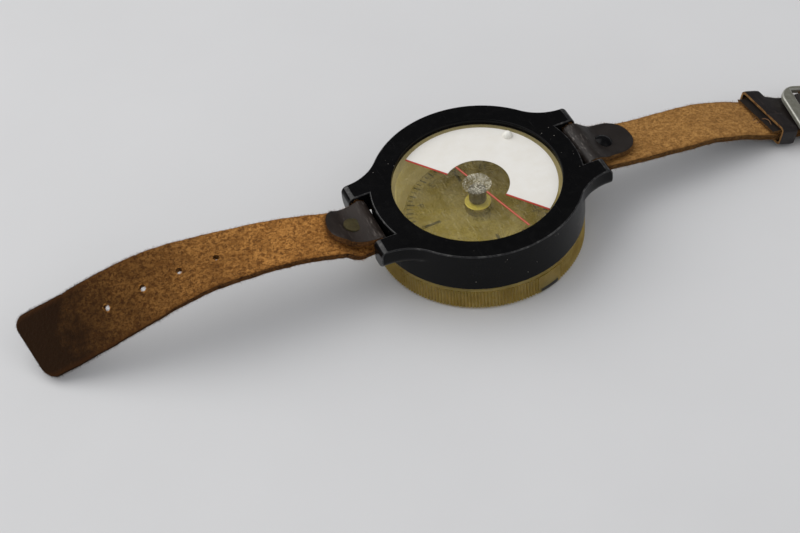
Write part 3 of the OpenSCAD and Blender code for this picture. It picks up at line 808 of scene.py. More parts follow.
def band_faces(rows: int, cols: int, closed: bool = False) -> Faces:
    """Faces of a band whose points run ring by ring.

    Args:
        rows: Number of rings.
        cols: Points per ring.
        closed: Whether the last ring meets the first; otherwise both ends are capped.

    Returns:
        Point indices of each face.
    """
    faces: Faces = []
    for i in range(rows if closed else rows - 1):
        low, high = i * cols, (i + 1) % rows * cols
        for j in range(cols):
            n = (j + 1) % cols
            faces.append((low + j, low + n, high + n, high + j))
    if not closed:
        faces += [tuple(range(cols)), tuple(range((rows - 1) * cols, rows * cols))]
    return faces


def store(obj: Object, **values: np.ndarray) -> None:
    """Store values on the points of a mesh.

    Args:
        obj: The object.
        values: Numbers by attribute name.
    """
    for name, numbers in values.items():
        attribute = obj.data.attributes.new(name, "FLOAT", "POINT")
        attribute.data.foreach_set("value", np.asarray(numbers, np.float32))


def place(obj: Object, matrix: Matrix) -> Object:
    """Move a mesh by changing its points, so that the object stays at the origin.

    Args:
        obj: The object.
        matrix: Transform in millimetres.

    Returns:
        The same object.
    """
    scaled = matrix.copy()
    scaled.translation = scaled.translation * MM
    obj.data.transform(scaled)
    obj.data.update()
    return obj


def combine(target: Object, tool: Object, how: str) -> Object:
    """Boolean of two solids; the tool is used up.

    Args:
        target: Solid that is changed.
        tool: Second solid.
        how: UNION, DIFFERENCE or INTERSECT.

    Returns:
        The target.
    """
    step = target.modifiers.new("combine", "BOOLEAN")
    step.operation = how
    step.object = tool
    step.solver = "EXACT"
    settle(target)
    bpy.data.objects.remove(tool)
    return target


def plain_mesh(obj: Object) -> Mesh:
    """Mesh of an object as its modifiers or its text make it.

    Args:
        obj: The object.

    Returns:
        A new mesh.
    """
    bpy.context.view_layer.update()
    graph = bpy.context.evaluated_depsgraph_get()
    return bpy.data.meshes.new_from_object(obj.evaluated_get(graph), depsgraph=graph)


def join(first: Object, *others: Object) -> Object:
    """Put other meshes into the first object.

    Args:
        first: Object that stays.
        others: Objects that are used up.

    Returns:
        The first object.
    """
    for second in others:
        slots = []
        for material in second.data.materials:
            if material.name not in first.data.materials:
                first.data.materials.append(material)
            slots.append(first.data.materials.find(material.name))
        moved = [slots[p.material_index] for p in second.data.polygons]
        second.data.polygons.foreach_set("material_index", np.array(moved, np.int32))
        work = bmesh.new()
        work.from_mesh(first.data)
        work.from_mesh(second.data)
        work.to_mesh(first.data)
        work.free()
        bpy.data.objects.remove(second)
    return first


def settle(obj: Object) -> Object:
    """Turn an object's modifiers into plain mesh.

    Args:
        obj: The object.

    Returns:
        The same object, without modifiers.
    """
    mesh = plain_mesh(obj)
    obj.modifiers.clear()
    old = obj.data
    obj.data = mesh
    bpy.data.meshes.remove(old)
    mesh.name = obj.name
    return obj


def bevel(obj: Object, width: float, slot: int = -1, steps: int = 3) -> Object:
    """Round the sharp edges of a solid.

    Args:
        obj: The solid.
        width: Bevel width in millimetres.
        slot: Material slot of the rounded faces, or -1 to keep the neighbours'.
        steps: Steps across the rounding.

    Returns:
        The same object.
    """
    step = obj.modifiers.new("bevel", "BEVEL")
    step.width = width * MM
    step.segments = steps
    step.limit_method = "ANGLE"
    step.angle_limit = math.radians(38.0)
    step.material = slot
    step.use_clamp_overlap = True
    return even(settle(obj), SHARP_ROUNDED)


def even(obj: Object, sharp: float = SHARP) -> Object:
    """Give a solid smooth shading that leaves its large faces flat.

    Args:
        obj: The solid.
        sharp: Angle in degrees above which an edge stays sharp.

    Returns:
        The same object.
    """
    smooth(obj.data, sharp)
    step = obj.modifiers.new("even", "WEIGHTED_NORMAL")
    step.keep_sharp = True
    return settle(obj)


def give(obj: Object, body: Body, slot: str, *nodes: str) -> Object:
    """Hand a finished piece to its CAD body.

    Args:
        obj: The piece.
        body: Body that it moves with.
        slot: Name of a material slot; not used.
        nodes: CAD nodes that it stands for.

    Returns:
        The piece.
    """
    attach(obj, body.value)
    if nodes:
        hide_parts(*nodes)
    LOG.info("%s: %d faces", obj.name, len(obj.data.polygons))
    return obj


def rod(
    name: str, radius: float, length: float, finish: Finish, matrix: Matrix, round_by: float = 0.1
) -> Object:
    """Round rod along its own z axis, centred and then placed, with rounded ends."""
    corners = oblong(0.0, radius, -length / 2, length / 2)
    return place(lathe(name, rounded_profile(corners, round_by), [finish], 64), matrix)


# Geometry node trees


class Tree(Nodes):
    """Geometry node tree with named inputs, made for one object."""

    def __init__(self, name: str) -> None:
        """Start a tree that takes and gives geometry.

        Args:
            name: The tree's name.
        """
        super().__init__(bpy.data.node_groups.new(name, "GeometryNodeTree"))
        for way in ("INPUT", "OUTPUT"):
            self.tree.interface.new_socket("Geometry", in_out=way, socket_type="NodeSocketGeometry")
        self.start = self.node("NodeGroupInput")
        self.end = self.node("NodeGroupOutput")
        self.values: dict[str, object] = {}

    def ask(self, name: str, kind: str, value: object) -> NodeSocket:
        """Add a named input.

        Args:
            name: Its name.
            kind: Float, Int or Material.
            value: The value that the object gives it.

        Returns:
            The socket inside the tree.
        """
        item = self.tree.interface.new_socket(name, in_out="INPUT", socket_type=f"NodeSocket{kind}")
        self.values[item.identifier] = value
        return self.start.outputs[name]

    def vector(self, **parts: object) -> NodeSocket:
        """Vector from its X, Y and Z parts."""
        return self.node("ShaderNodeCombineXYZ", **parts).outputs[0]

    def position(self) -> NodeOutputs:
        """X, Y and Z of each point."""
        spot = self.node("GeometryNodeInputPosition").outputs[0]
        return self.node("ShaderNodeSeparateXYZ", i0=spot).outputs

    def finish(self, geometry: NodeSocket, material: NodeSocket) -> None:
        """End the tree: instances become mesh and take the material.

        Args:
            geometry: The geometry.
            material: The material input.
        """
        real = self.node("GeometryNodeRealizeInstances", Geometry=geometry)
        dressed = self.node("GeometryNodeSetMaterial", Geometry=real.outputs[0], Material=material)
        self.put(dressed.outputs[0], self.end.inputs[0])

    def run(self, obj: Object) -> Object:
        """Apply the tree to an object and keep the plain mesh.

        Args:
            obj: The object.

        Returns:
            The same object.
        """
        step = obj.modifiers.new(self.tree.name, "NODES")
        step.node_group = self.tree
        for identifier, value in self.values.items():
            step[identifier] = value
        settle(obj)
        dressed = next(v for v in self.values.values() if isinstance(v, Material))
        obj.data.materials.clear()
        obj.data.materials.append(dressed)
        obj.data.polygons.foreach_set("material_index", np.zeros(len(obj.data.polygons), np.int32))
        return obj


def ribs(obj: Object, sizes: dict[str, float]) -> None:
    """Press even ribs into the outer wall of a ring.

    Args:
        obj: The ring.
        sizes: Count, depth, start, end, inner radius, and direction and half width of a patch without
            ribs, by the names of the tree's inputs, in metres and radians.
    """
    tree = Tree("bezel_ribs")
    asked = {name: tree.ask(name, "Float", value) for name, value in sizes.items()}
    material = tree.ask("Material", "Material", material_of(Finish.BEZEL))
    parts = tree.position()
    flat = tree.vector(X=parts[0], Y=parts[1])
    length = tree.node("ShaderNodeVectorMath", {"operation": "LENGTH"}, i0=flat).outputs["Value"]
    angle = tree.maths("ARCTAN2", parts[1], parts[0])
    turned = tree.maths("MULTIPLY", angle, asked["Rib count"])
    wave = tree.maths("SUBTRACT", tree.maths("COSINE", turned), 1.0)
    off = tree.maths("ABSOLUTE", tree.maths("SUBTRACT", angle, asked["Patch direction"]))
    for how, value, limit in (
        ("GREATER_THAN", off, "Patch half width"),
        ("GREATER_THAN", parts[2], "Rib start"),
        ("LESS_THAN", parts[2], "Rib end"),
        ("GREATER_THAN", length, "Inner radius"),
    ):
        wave = tree.maths("MULTIPLY", wave, tree.maths(how, value, asked[limit]))
    size = tree.maths("MULTIPLY", tree.maths("MULTIPLY", wave, 0.5), asked["Rib depth"])
    aside = tree.node("ShaderNodeVectorMath", {"operation": "NORMALIZE"}, i0=flat).outputs[0]
    shift = tree.node("ShaderNodeVectorMath", {"operation": "SCALE"}, i0=aside, Scale=size).outputs[0]
    moved = tree.node("GeometryNodeSetPosition", Geometry=tree.start.outputs[0], Offset=shift)
    tree.finish(moved.outputs[0], material)
    tree.run(obj)


def ticks(name: str, count: int, radius: float, size: Triple, height: float) -> Object:
    """Ring of short marks.

    Args:
        name: Object name.
        count: Number of marks.
        radius: Radius of their middle.
        size: Length, width and thickness in millimetres.
        height: Height of the ring.

    Returns:
        The marks as one mesh object.
    """
    tree = Tree(name)
    number = tree.ask("Mark count", "Int", count)
    reach = tree.ask("Ring radius", "Float", radius * MM)
    long = tree.ask("Mark length", "Float", size[0] * MM)
    wide = tree.ask("Mark width", "Float", size[1] * MM)
    thick = tree.ask("Mark thickness", "Float", size[2] * MM)
    lift = tree.ask("Ring height", "Float", height * MM)
    material = tree.ask("Material", "Material", material_of(Finish.INK))
    circle = tree.node("GeometryNodeMeshCircle", Vertices=number, Radius=reach)
    mark = tree.node("GeometryNodeMeshCube", Size=tree.vector(X=long, Y=wide, Z=thick))
    spot = tree.position()
    turn = tree.vector(Z=tree.maths("ARCTAN2", spot[1], spot[0]))
    dots = tree.node("GeometryNodeMeshToPoints", Mesh=circle.outputs[0]).outputs[0]
    copies = tree.node(
        "GeometryNodeInstanceOnPoints", Points=dots, Instance=mark.outputs[0], Rotation=turn
    ).outputs[0]
    moved = tree.node("GeometryNodeTransform", Geometry=copies, Translation=tree.vector(Z=lift))
    tree.finish(moved.outputs[0], material)
    return tree.run(mesh_object(name, np.zeros((0, 3)), [], [Finish.INK]))


def fuzz(name: str, skin: Object, finish: Finish, density: float, length: float, seed: int) -> Object:
    """Short loose fibres that stand out of a surface.

    Args:
        name: Object name.
        skin: Surface that they grow on; it is used up.
        finish: Their finish.
        density: Fibres per square millimetre.
        length: Longest fibre in millimetres.
        seed: Seed of the scatter.

    Returns:
        The fibres as one mesh object.
    """
    radius, taper, shortest, lean = 0.035, 0.3, 0.35, (0.9, 0.9, 3.0)
    tree = Tree(name)
    many = tree.ask("Density", "Float", density / MM**2)
    reach = tree.ask("Fibre length", "Float", length * MM)
    thick = tree.ask("Fibre radius", "Float", radius * MM)
    number = tree.ask("Seed", "Int", seed)
    material = tree.ask("Material", "Material", material_of(finish))
    surface = tree.start.outputs[0]
    dots = tree.node("GeometryNodeDistributePointsOnFaces", Mesh=surface, Density=many, Seed=number)
    fibre = tree.node("GeometryNodeMeshCone", Vertices=4, Radius_Bottom=thick, Depth=reach)
    tree.put(tree.maths("MULTIPLY", thick, taper), fibre.inputs["Radius Top"])
    least = tuple(-v for v in lean)
    tilt = tree.node(
        "FunctionNodeRandomValue", {"data_type": "FLOAT_VECTOR"}, Min=least, Max=lean, Seed=number
    ).outputs[0]
    straight = dots.outputs["Rotation"]
    turned = tree.node(
        "FunctionNodeRotateRotation", {"rotation_space": "LOCAL"}, Rotation=straight, Rotate_By=tilt
    ).outputs[0]
    size = tree.node("FunctionNodeRandomValue", {"data_type": "FLOAT"}, Seed=number)
    size.inputs["Min"].default_value = shortest
    share = next(o for o in size.outputs if o.enabled)
    spots = dots.outputs["Points"]
    copies = tree.node("GeometryNodeInstanceOnPoints", Points=spots, Rotation=turned, Scale=share)
    tree.put(fibre.outputs[0], copies.inputs["Instance"])
    tree.finish(copies.outputs[0], material)
    skin.name = name
    return tree.run(skin)


# Sub-assemblies

CASE_FINISHES = [Finish.CASE, Finish.CASE_EDGE, Finish.CASE_DULL]
CASE_TURNS = 224


@dataclass
class CaseShell:
    """Black case with its ears, neck, strap bars, seal and snap ring."""

    radius: float = 29.0
    top: float = 20.35
    bottom: float = 7.9
    window: float = 23.0
    bore: float = 24.6
    lip: float = 18.7
    neck: float = 26.4
    neck_low: float = 2.6
    neck_high: float = 9.0
    ear_half: float = 14.0
    ear_low: float = 14.0
    ear_end: float = 1.9
    low_round: float = 3.0
    soft: float = 0.35
    slot_half: float = 8.5
    corner: float = 14.0
    corner_steps: int = 3
    wall_steps: int = 6
    bar_at: float = 32.0
    bar_radius: float = 0.8
    bar_length: float = 22.0
    seal: tuple[float, float] = (23.1, 24.58)
    seal_thick: float = 0.3
    wire: float = 0.45
    wire_at: float = 26.45
    wire_up: float = 5.125
    wire_gap: float = 12.0

    def quarter(self, inset: float, reach: float, shrink: float = 0.0) -> np.ndarray:
        """Quarter of the case's outline, from +Y to the middle of the strap slot.

        Args:
            inset: How far the ear's outer side is set in at this height.
            reach: Distance of the ear's end from the axis.
            shrink: How far the whole outline is drawn in by the rounded top edge.

        Returns:
            Points in the plane.
        """
        cy = self.ear_half + self.corner
        cx = math.sqrt((self.radius + self.corner) ** 2 - cy**2)
        turn = math.degrees(math.atan2(cy, cx))
        wall, end = self.radius - shrink, reach - self.soft
        side, slot = self.ear_half - inset - shrink, self.slot_half + shrink
        hollow = arc(cx, cy, self.corner + inset + shrink, 180.0 + turn, 270.0, 60)
        line = arc(0.0, 0.0, wall, 90.0, turn, 50)[:-1]
        line += [(min(x, end), y) for x, y in hollow]
        line += arc(end, side - self.soft, self.soft, 90.0, 0.0, self.corner_steps)
        line += arc(end, slot + self.soft, self.soft, 0.0, -90.0, self.corner_steps)
        for k in range(self.wall_steps, -1, -1):
            y = slot * k / self.wall_steps
            line.append((math.sqrt(wall**2 - y**2), y))
        points = np.array(line)
        far = np.hypot(points[:, 0], points[:, 1])
        return points * np.maximum(1.0, wall / far)[:, None]

    @staticmethod
    def all_round(part: np.ndarray) -> np.ndarray:
        """Mirror a quarter of an outline to the whole of it.

        Args:
            part: Points of the quarter.

        Returns:
            Closed outline, against the clock.
        """
        back = part[::-1]
        whole = [part, (back * (1.0, -1.0))[1:], (part * (-1.0, -1.0))[1:], (back * (-1.0, 1.0))[1:-1]]
        return np.vstack(whole)[::-1]

    def solid(self) -> Object:
        """Outer form of the case, as a stack of outlines.

        Returns:
            The solid.
        """
        end, low, soft, reach = self.ear_end, self.low_round, self.soft, self.bar_at + self.ear_end
        wall = self.wall_steps + 1
        inner, outer = (wall + k * (self.corner_steps + 1) for k in (1, 2))
        foot = self.quarter(low, reach)
        angles = np.arctan2(foot[:, 1], foot[:, 0])
        angles[-outer:-wall] = np.linspace(angles[-outer - 1], angles[-wall], outer - wall + 2)[1:-1]
        ring = self.radius * np.stack([np.cos(angles), np.sin(angles)], axis=1)
        levels = []
        for a in np.linspace(0.0, math.pi / 2, 4):
            drawn_in = soft * (1.0 - math.sin(a)) / self.radius
            levels.append((self.bottom + soft * (1.0 - math.cos(a)), ring * (1.0 - drawn_in)))
        levels.append((self.ear_low, ring))
        round_rows = len(levels)
        for a in np.linspace(0.0, math.pi / 2, 11):
            outline = self.quarter(low * (1.0 - math.sin(a)), reach)
            levels.append((self.ear_low + low * (1.0 - math.cos(a)), outline))
        plain = [end * math.sin(a) for a in np.linspace(0.0, math.asin(1.0 - soft / end), 8)]
        rounded = [end - soft + soft * math.sin(a) for a in np.linspace(0.0, math.pi / 2, 5)]
        for up in plain + rounded[1:]:
            back = end - math.sqrt(end**2 - up**2)
            shrink = soft - math.sqrt(max(0.0, soft**2 - max(0.0, up - end + soft) ** 2))
            levels.append((self.top - end + up, self.quarter(0.0, reach - back, shrink)))
        known: dict[Triple, int] = {}
        rows = []
        for z, part in levels:
            spots = [(round(x, 4), round(y, 4), round(z, 4)) for x, y in self.all_round(part)]
            rows.append([known.setdefault(spot, len(known)) for spot in spots])
        zones = np.zeros((len(foot), 2))
        zones[-outer:-inner], zones[-inner:-wall], zones[-wall:] = 1.0, 2.0, 3.0
        marks = np.abs(self.all_round(zones))[:, 0]
        faces, slots = [], []
        for i, (under, over) in enumerate(zip(rows, rows[1:])):
            upper = i >= len(rows) - len(rounded)
            for k in range(len(under)):
                n = (k + 1) % len(under)
                corners = tuple(dict.fromkeys((under[k], under[n], over[n], over[k])))
                if len(corners) > 2:
                    faces.append(corners)
                    zone = marks[k] if marks[k] == marks[n] and i >= round_rows else 0.0
                    # Slot 1, on the rounded top edge and the ear ends, takes the lighter edge finish: partly
                    # wear, partly painted highlight.
                    # Slot 2, on the strap slot's inner wall, takes the non-reflecting black: painted shade.
                    slots.append(1 if upper or zone in (1.0, 2.0) else 2 if zone == 3.0 else 0)
        faces += [tuple(dict.fromkeys(rows[0]))[::-1], tuple(dict.fromkeys(rows[-1]))]
        return mesh_object("case_shell", np.array(list(known)), faces, CASE_FINISHES, [*slots, 0, 0])

    def bore_tool(self) -> Object:
        """Form that is cut out of the case, with the rounded edge of its window.

        Returns:
            The solid.
        """
        above, aside = self.top + 0.1, self.window + self.soft + 0.3
        bored = [(0.0, 0.0), (self.bore, 0.0), (self.bore, self.lip), (self.window, self.lip)]
        for a in np.radians([0.0, 20.0, 40.0, 60.0, 80.0]):
            out, down = self.soft * (1.0 - math.cos(a)), self.soft * (1.0 - math.sin(a))
            bored.append((self.window + out, self.top - down))
        return lathe("bore", [*bored, (aside, above), (0.0, above)], [Finish.CASE], CASE_TURNS)

    def build(self) -> None:
        """Make all pieces of the case."""
        shell = self.solid()
        neck = oblong(0.0, self.neck, self.neck_low, self.neck_high)
        combine(shell, lathe("neck", neck, [Finish.CASE], CASE_TURNS), "UNION")
        even(combine(shell, self.bore_tool(), "DIFFERENCE"))
        give(shell, Body.CASE, "black_moulding", "case")
        middle = (self.top + self.ear_low) / 2
        for side, name in ((1, "strap_bar_short"), (-1, "strap_bar_long")):
            across = Matrix.Translation((side * self.bar_at, 0.0, middle)) @ turn_about("X", 90.0)
            bar = rod(f"{name}_rod", self.bar_radius, self.bar_length, Finish.STEEL, across)
            give(bar, Body.CASE, "steel", name)
        seal = oblong(*self.seal, self.lip - self.seal_thick, self.lip)
        give(lathe("seal_ring", seal, [Finish.FELT]), Body.CASE, "felt", "dust_seal")
        give(self.snap_ring(), Body.CASE, "steel", "snap_ring")

    def snap_ring(self) -> Object:
        """Split wire ring between neck and bezel.

        Returns:
            The object.
        """
        turns, sides = 160, 12
        points = []
        for i in range(turns + 1):
            a = math.radians(self.wire_gap / 2 + (360.0 - self.wire_gap) * i / turns)
            for j in range(sides):
                b = 2.0 * math.pi * j / sides
                r = self.wire_at + self.wire * math.cos(b)
                points.append((r * math.cos(a), r * math.sin(a), self.wire_up + self.wire * math.sin(b)))
        return mesh_object("snap_wire", np.array(points), band_faces(turns + 1, sides), [Finish.STEEL])


@dataclass
class BezelRing:
    """Yellowed clear bezel with its ribs and its black index mark."""

    peak: float = 28.9
    depth: float = 0.4
    top: float = 7.65
    rib_top: float = 6.45
    chamfer: float = 0.5
    flange: float = 2.2
    bore: float = 26.5
    inner: float = 24.32
    ribs: int = 200
    rib_inner: float = 27.5
    rim_edge: float = 0.2
    set_in: float = 0.1
    turns: int = 1200
    index_dir: float = -74.5
    index_half: float = 6.0
    index_deep: float = 0.8
    index_proud: float = 0.06
    index_rise: tuple[float, float] = (0.55, 1.75)
    index_soft: float = 0.12
    patch_half: float = 7.5

    def build(self) -> None:
        """Make the bezel and its index."""
        step, edge = 0.02, self.rim_edge
        front = self.peak - self.depth - self.set_in
        rim = self.peak - self.depth / 2 - self.set_in
        wall = [(self.peak, self.chamfer + step), (self.peak, self.rib_top - step)]
        profile = [(self.inner, 0.0), (front - self.chamfer, 0.0), (front, self.chamfer), *wall]
        profile += [(rim, self.rib_top), (rim, self.top - edge), (rim - edge, self.top)]
        profile += [(self.bore, self.top), (self.bore, self.flange), (self.inner, self.flange)]
        ring = lathe("bezel_ring", profile, [Finish.BEZEL], self.turns, sharp=25.0)
        sizes = {
            "Rib count": float(self.ribs),
            "Rib depth": self.depth * MM,
            "Rib start": (self.chamfer + step / 2) * MM,
            "Rib end": (self.rib_top - step / 2) * MM,
            "Inner radius": self.rib_inner * MM,
            "Patch direction": math.radians(self.index_dir),
            "Patch half width": math.radians(self.patch_half),
        }
        ribs(ring, sizes)
        smooth(ring.data, 50.0)
        give(ring, Body.BEZEL, "yellowed_clear", "bezel")
        outer, inner = self.peak + self.index_proud, self.peak - self.index_deep
        start, end = self.index_dir - self.index_half, self.index_dir + self.index_half
        outline = arc(0.0, 0.0, outer, start, end, 24) + arc(0.0, 0.0, inner, end, start, 24)
        mark = prism("index_mark", outline, *self.index_rise, [Finish.INDEX])
        mark = bevel(mark, self.index_soft, steps=2)
        give(mark, Body.BEZEL, "black_paint", "bezel_index")


@dataclass
class Capsule:
    """Clear capsule with its half plate, lines, filler plug and pivot."""

    radius: float = 24.3
    inner: float = 22.3
    top: float = 18.3
    plate: float = 2.0
    cover: float = 2.0
    plate_dir: float = 37.0
    plate_radius: float = 21.9
    cut: float = 8.9
    print_low: float = 0.005
    plate_high: float = 0.12
    line_high: float = 0.08
    edge_line: float = 0.5
    edge_trim: float = 0.03
    course_dir: float = -74.5
    course_far: float = 21.1
    course_near: float = 8.8
    course_half: float = 0.1
    margin_at: float = 0.18
    margin_half: float = 0.08
    stem: tuple[float, float] = (0.62, 2.4)
    stem_low: float = 12.6
    needle: float = 0.6
    needle_tip: float = 0.08
    needle_rise: Triple = (10.45, 11.65, 15.1)
    boss: float = 4.0
    boss_high: float = 0.15
    boss_clear: float = 0.1
    play: float = 0.02
    plug_radius: float = 1.35
    plug_high: float = 0.35
    plug_at: float = 20.0
    plug_dir: float = 40.0

    def build(self) -> None:
        """Make all pieces that turn with the capsule."""
        below, hole, edge = self.top - self.plate, self.boss + self.play, 0.25
        cup = [(hole, self.top), (hole, below), (self.inner, below), (self.inner, self.cover)]
        cup += [(self.radius, self.cover), (self.radius, self.top - edge), (self.radius - edge, self.top)]
        finishes = [Finish.PLATE_CLEAR, Finish.WALL_CLEAR, Finish.UNDER_CLEAR]
        shell = lathe("capsule_cup", cup, finishes, 192, [2, 2, 1, 1, 1, 1, 0])
        give(shell, Body.BEZEL, "capsule_clear", "cell_cup")
        cover = oblong(0.0, self.radius, 0.0, self.cover)
        front = lathe("capsule_cover", cover, [Finish.MURK, Finish.PLATE_CLEAR], 192, [1, 1, 0, 0])
        give(front, Body.BEZEL, "capsule_clear", "cell_cover")
        self.half_plate()
        self.lines()
        self.plug()
        self.pivot()

    def printed(self, name: str, outline: Profile, high: float, finish: Finish) -> Object:
        """Thin layer on the back plate, by outline and by height of its top above the plate."""
        return prism(name, outline, self.top + self.print_low, self.top + high, [finish])

    def half_plate(self) -> None:
        """White half plate."""
        start, end = self.plate_dir - 90.0, self.plate_dir + 90.0
        outline = arc(0.0, 0.0, self.plate_radius, start, end, 96) + arc(0.0, 0.0, self.cut, end, start, 64)
        plate = self.printed("white_half", outline, self.plate_high, Finish.WHITE)
        give(plate, Body.BEZEL, "white_plate", "half_plate")

    def lines(self) -> None:
        """Red edge lines and the course line."""
        edges = []
        for side in (1.0, -1.0):
            corners = [(-self.edge_line, side * self.cut), (-self.play, side * self.cut)]
            corners.append((-self.play, side * (self.plate_radius - self.play)))
            corners.append((-self.edge_line, side * (self.plate_radius - self.edge_trim)))
            edges.append(self.printed("red_edges", corners, self.line_high, Finish.RED))
        edge = place(join(*edges), turn_about("Z", self.plate_dir))
        give(edge, Body.BEZEL, "red_paint", "red_edge_lines")
        strips = []
        clear = self.boss + self.boss_clear
        for low, high in ((clear, self.course_far), (-self.course_near, -clear)):
            # The course line's pale core is a painted highlight; its red margins are print.
            for y, half, finish in (
                (0.0, self.course_half, Finish.PINK),
                (self.margin_at, self.margin_half, Finish.RED),
                (-self.margin_at, self.margin_half, Finish.RED),
            ):
                corners = oblong(low, high, y - half, y + half)
                strips.append(self.printed("course_strip", corners, self.line_high, finish))
        course = place(join(*strips), turn_about("Z", self.course_dir))
        give(course, Body.BEZEL, "red_paint", "course_line")

    def plug(self) -> None:
        """White filler plug."""
        r, low, foot = self.plug_radius, self.top + self.plug_high, self.top - self.plate
        dome = [(r * math.cos(t), low + r * math.sin(t)) for t in np.linspace(0.0, 1.5, 12)]
        side = [(0.0, foot), (r, foot), *dome, (0.0, low + r)]
        obj = lathe("filler_stopper", side, [Finish.PLUG], 48)
        a = math.radians(self.plug_dir)
        place(obj, Matrix.Translation((self.plug_at * math.cos(a), self.plug_at * math.sin(a), 0.0)))
        give(obj, Body.BEZEL, "white_plug", "filler_plug")

    def pivot(self) -> None:
        """Clear button with its stem and needle."""
        high, foot = self.top + self.boss_high, self.top - self.plate
        button = [(0.0, foot), (self.boss, foot), (self.boss, self.top), (self.boss - self.boss_high, high)]
        raised = [(1.15, 0.0), (1.1, 0.24), (1.04, 0.3), (0.86, 0.3), (0.8, 0.24), (0.75, 0.0), (0.0, 0.0)]
        button += [(r, high + up) for r, up in raised]
        slots = [1, 1, *[0] * (len(button) - 2)]
        boss = lathe("pivot_button", button, [Finish.BOSS_CLEAR, Finish.UNDER_CLEAR], 96, slots)
        give(boss, Body.BEZEL, "capsule_clear", "pivot_boss")
        stem = rounded_profile(oblong(*self.stem, self.stem_low, foot), 0.2)
        give(lathe("stem", stem, [Finish.STEM], 64), Body.BEZEL, "dark_stem", "pivot_stem")
        r, (low, shoulder, end) = self.needle, self.needle_rise
        needle = [(0.0, low), (self.needle_tip, low), (r, shoulder), (r, end), (0.0, end)]
        give(lathe("needle", needle, [Finish.STEEL], 32), Body.BEZEL, "steel", "pivot_needle")


@dataclass
class CompassCard:
    """Clear card with its marks, hub, magnet and jewel."""

    radius: float = 20.0
    low: float = 8.6
    high: float = 9.2
    mark_thick: float = 0.04
    mark_up: float = 0.03
    number_size: float = 2.6
    number_at: float = 15.7
    neck: float = 2.0
    play: float = 0.02
    drum: float = 3.6
    drum_high: float = 12.0
    drum_bore: float = 1.32
    seat: float = 9.9
    hub_low: float = 6.2
    magnet: float = 3.3
    magnet_low: float = 6.4
    jewel: float = 1.3
    jewel_high: float = 10.3
    cup: float = 0.5
    cup_low: float = 10.15

    def build(self) -> None:
        """Make all pieces that swing with the card."""
        disc = oblong(self.neck + self.play, self.radius, self.low, self.high)
        give(lathe("card_disc", disc, [Finish.CARD_CLEAR]), Body.CARD, "capsule_clear", "compass_card")
        rings = []
        for name, count, radius, length, width in (
            ("card_marks", 72, 18.9, 1.3, 0.22),
            ("card_tens", 36, 18.6, 2.0, 0.34),
            ("card_quarters", 4, 13.6, 4.5, 0.8),
        ):
            size = (length, width, self.mark_thick)
            rings.append(ticks(name, count, radius, size, self.high + self.mark_up))
        give(join(*rings, *self.numbers()), Body.CARD, "capsule_clear")
        edge = 0.25
        hub = [(0.0, self.hub_low), (self.neck, self.hub_low), (self.neck, self.high), (self.drum, self.high)]
        hub += [(self.drum, self.drum_high - edge), (self.drum - edge, self.drum_high)]
        hub += [(self.drum_bore, self.drum_high), (self.drum_bore, self.seat), (0.0, self.seat)]
        drum = lathe("hub", hub, [Finish.HUB, Finish.HUB_SIDE], 96, [1, 1, 1, 1, 0, 0, 1, 1, 1])
        give(drum, Body.CARD, "yellow_hub", "card_hub")
        magnet = rounded_profile(oblong(self.neck + self.play, self.magnet, self.magnet_low, self.low), 0.15)
        give(lathe("magnet_ring", magnet, [Finish.MAGNET], 64), Body.CARD, "magnet", "ring_magnet")
        r, high = self.jewel, self.jewel_high
        jewel = [(0.0, self.seat), (r, self.seat), (r, high), (self.cup, high), (0.0, self.cup_low)]
        give(lathe("jewel", jewel, [Finish.JEWEL], 48), Body.CARD, "jewel", "jewel_cup")

    def numbers(self) -> list[Object]:
        """Degree numbers, in tens, every thirty degrees.

        Returns:
            The numbers, each a mesh object.
        """
        made = []
        lift = Matrix.Translation((0.0, self.number_at, self.high + self.mark_thick))
        flip = Matrix.Scale(-1.0, 4, (1.0, 0.0, 0.0))
        for k in range(12):
            curve = bpy.data.curves.new("number", "FONT")
            curve.body = str(3 * k if k else 36)
            curve.size = self.number_size * MM
            curve.align_x = "CENTER"
            curve.align_y = "CENTER"
            holder = linked("number", curve)
            mesh = plain_mesh(holder)
            bpy.data.objects.remove(holder)
            mesh.materials.clear()
            mesh.materials.append(material_of(Finish.INK))
            made.append(place(linked("card_number", mesh), turn_about("Z", 30.0 * k) @ lift @ flip))
        return made


@dataclass
class Waypoint:
    """Point in the middle of the leather.

    Distances run out from the strap bar, across the strap and up, in millimetres.
    """

    out: float
    across: float
    up: float
    twist: float
    width: float
    thick: float
    slant: float = 0.0


def between(points: np.ndarray, i: int, t: float) -> np.ndarray:
    """Row on a smooth curve through rows of numbers.

    Args:
        points: Rows of numbers.
        i: Row before it.
        t: Share of the way to the next row.

    Returns:
        The row.
    """
    a, b, c = points[max(i - 1, 0)], points[i], points[i + 1]
    d = points[min(i + 2, len(points) - 1)]
    square, cube = 2 * a - 5 * b + 4 * c - d, 3 * b - a - 3 * c + d
    return 0.5 * (2 * b + (c - a) * t + square * t**2 + cube * t**3)


def curve_through(points: np.ndarray, first: int, last: int, steps: int) -> np.ndarray:
    """Smooth curve through rows of numbers, from a first to a last row, in steps per stretch."""
    done = [between(points, i, j / steps) for i in range(first, last) for j in range(steps)]
    return np.array([*done, points[last]])


def at_distance(points: np.ndarray, out: float) -> np.ndarray:
    """Row on a curve at a distance from the bar, where rows of numbers start with a distance."""
    i = max([1] + [k for k in range(1, len(points) - 1) if points[k][0] <= out])
    return between(points, i, (out - points[i][0]) / (points[i + 1][0] - points[i][0]))


def end_heading(points: np.ndarray) -> float:
    """Heading of the last stretch of a strap, seen from above, in radians."""
    way = points[-1] - points[-2]
    return math.atan2(way[1], way[0])


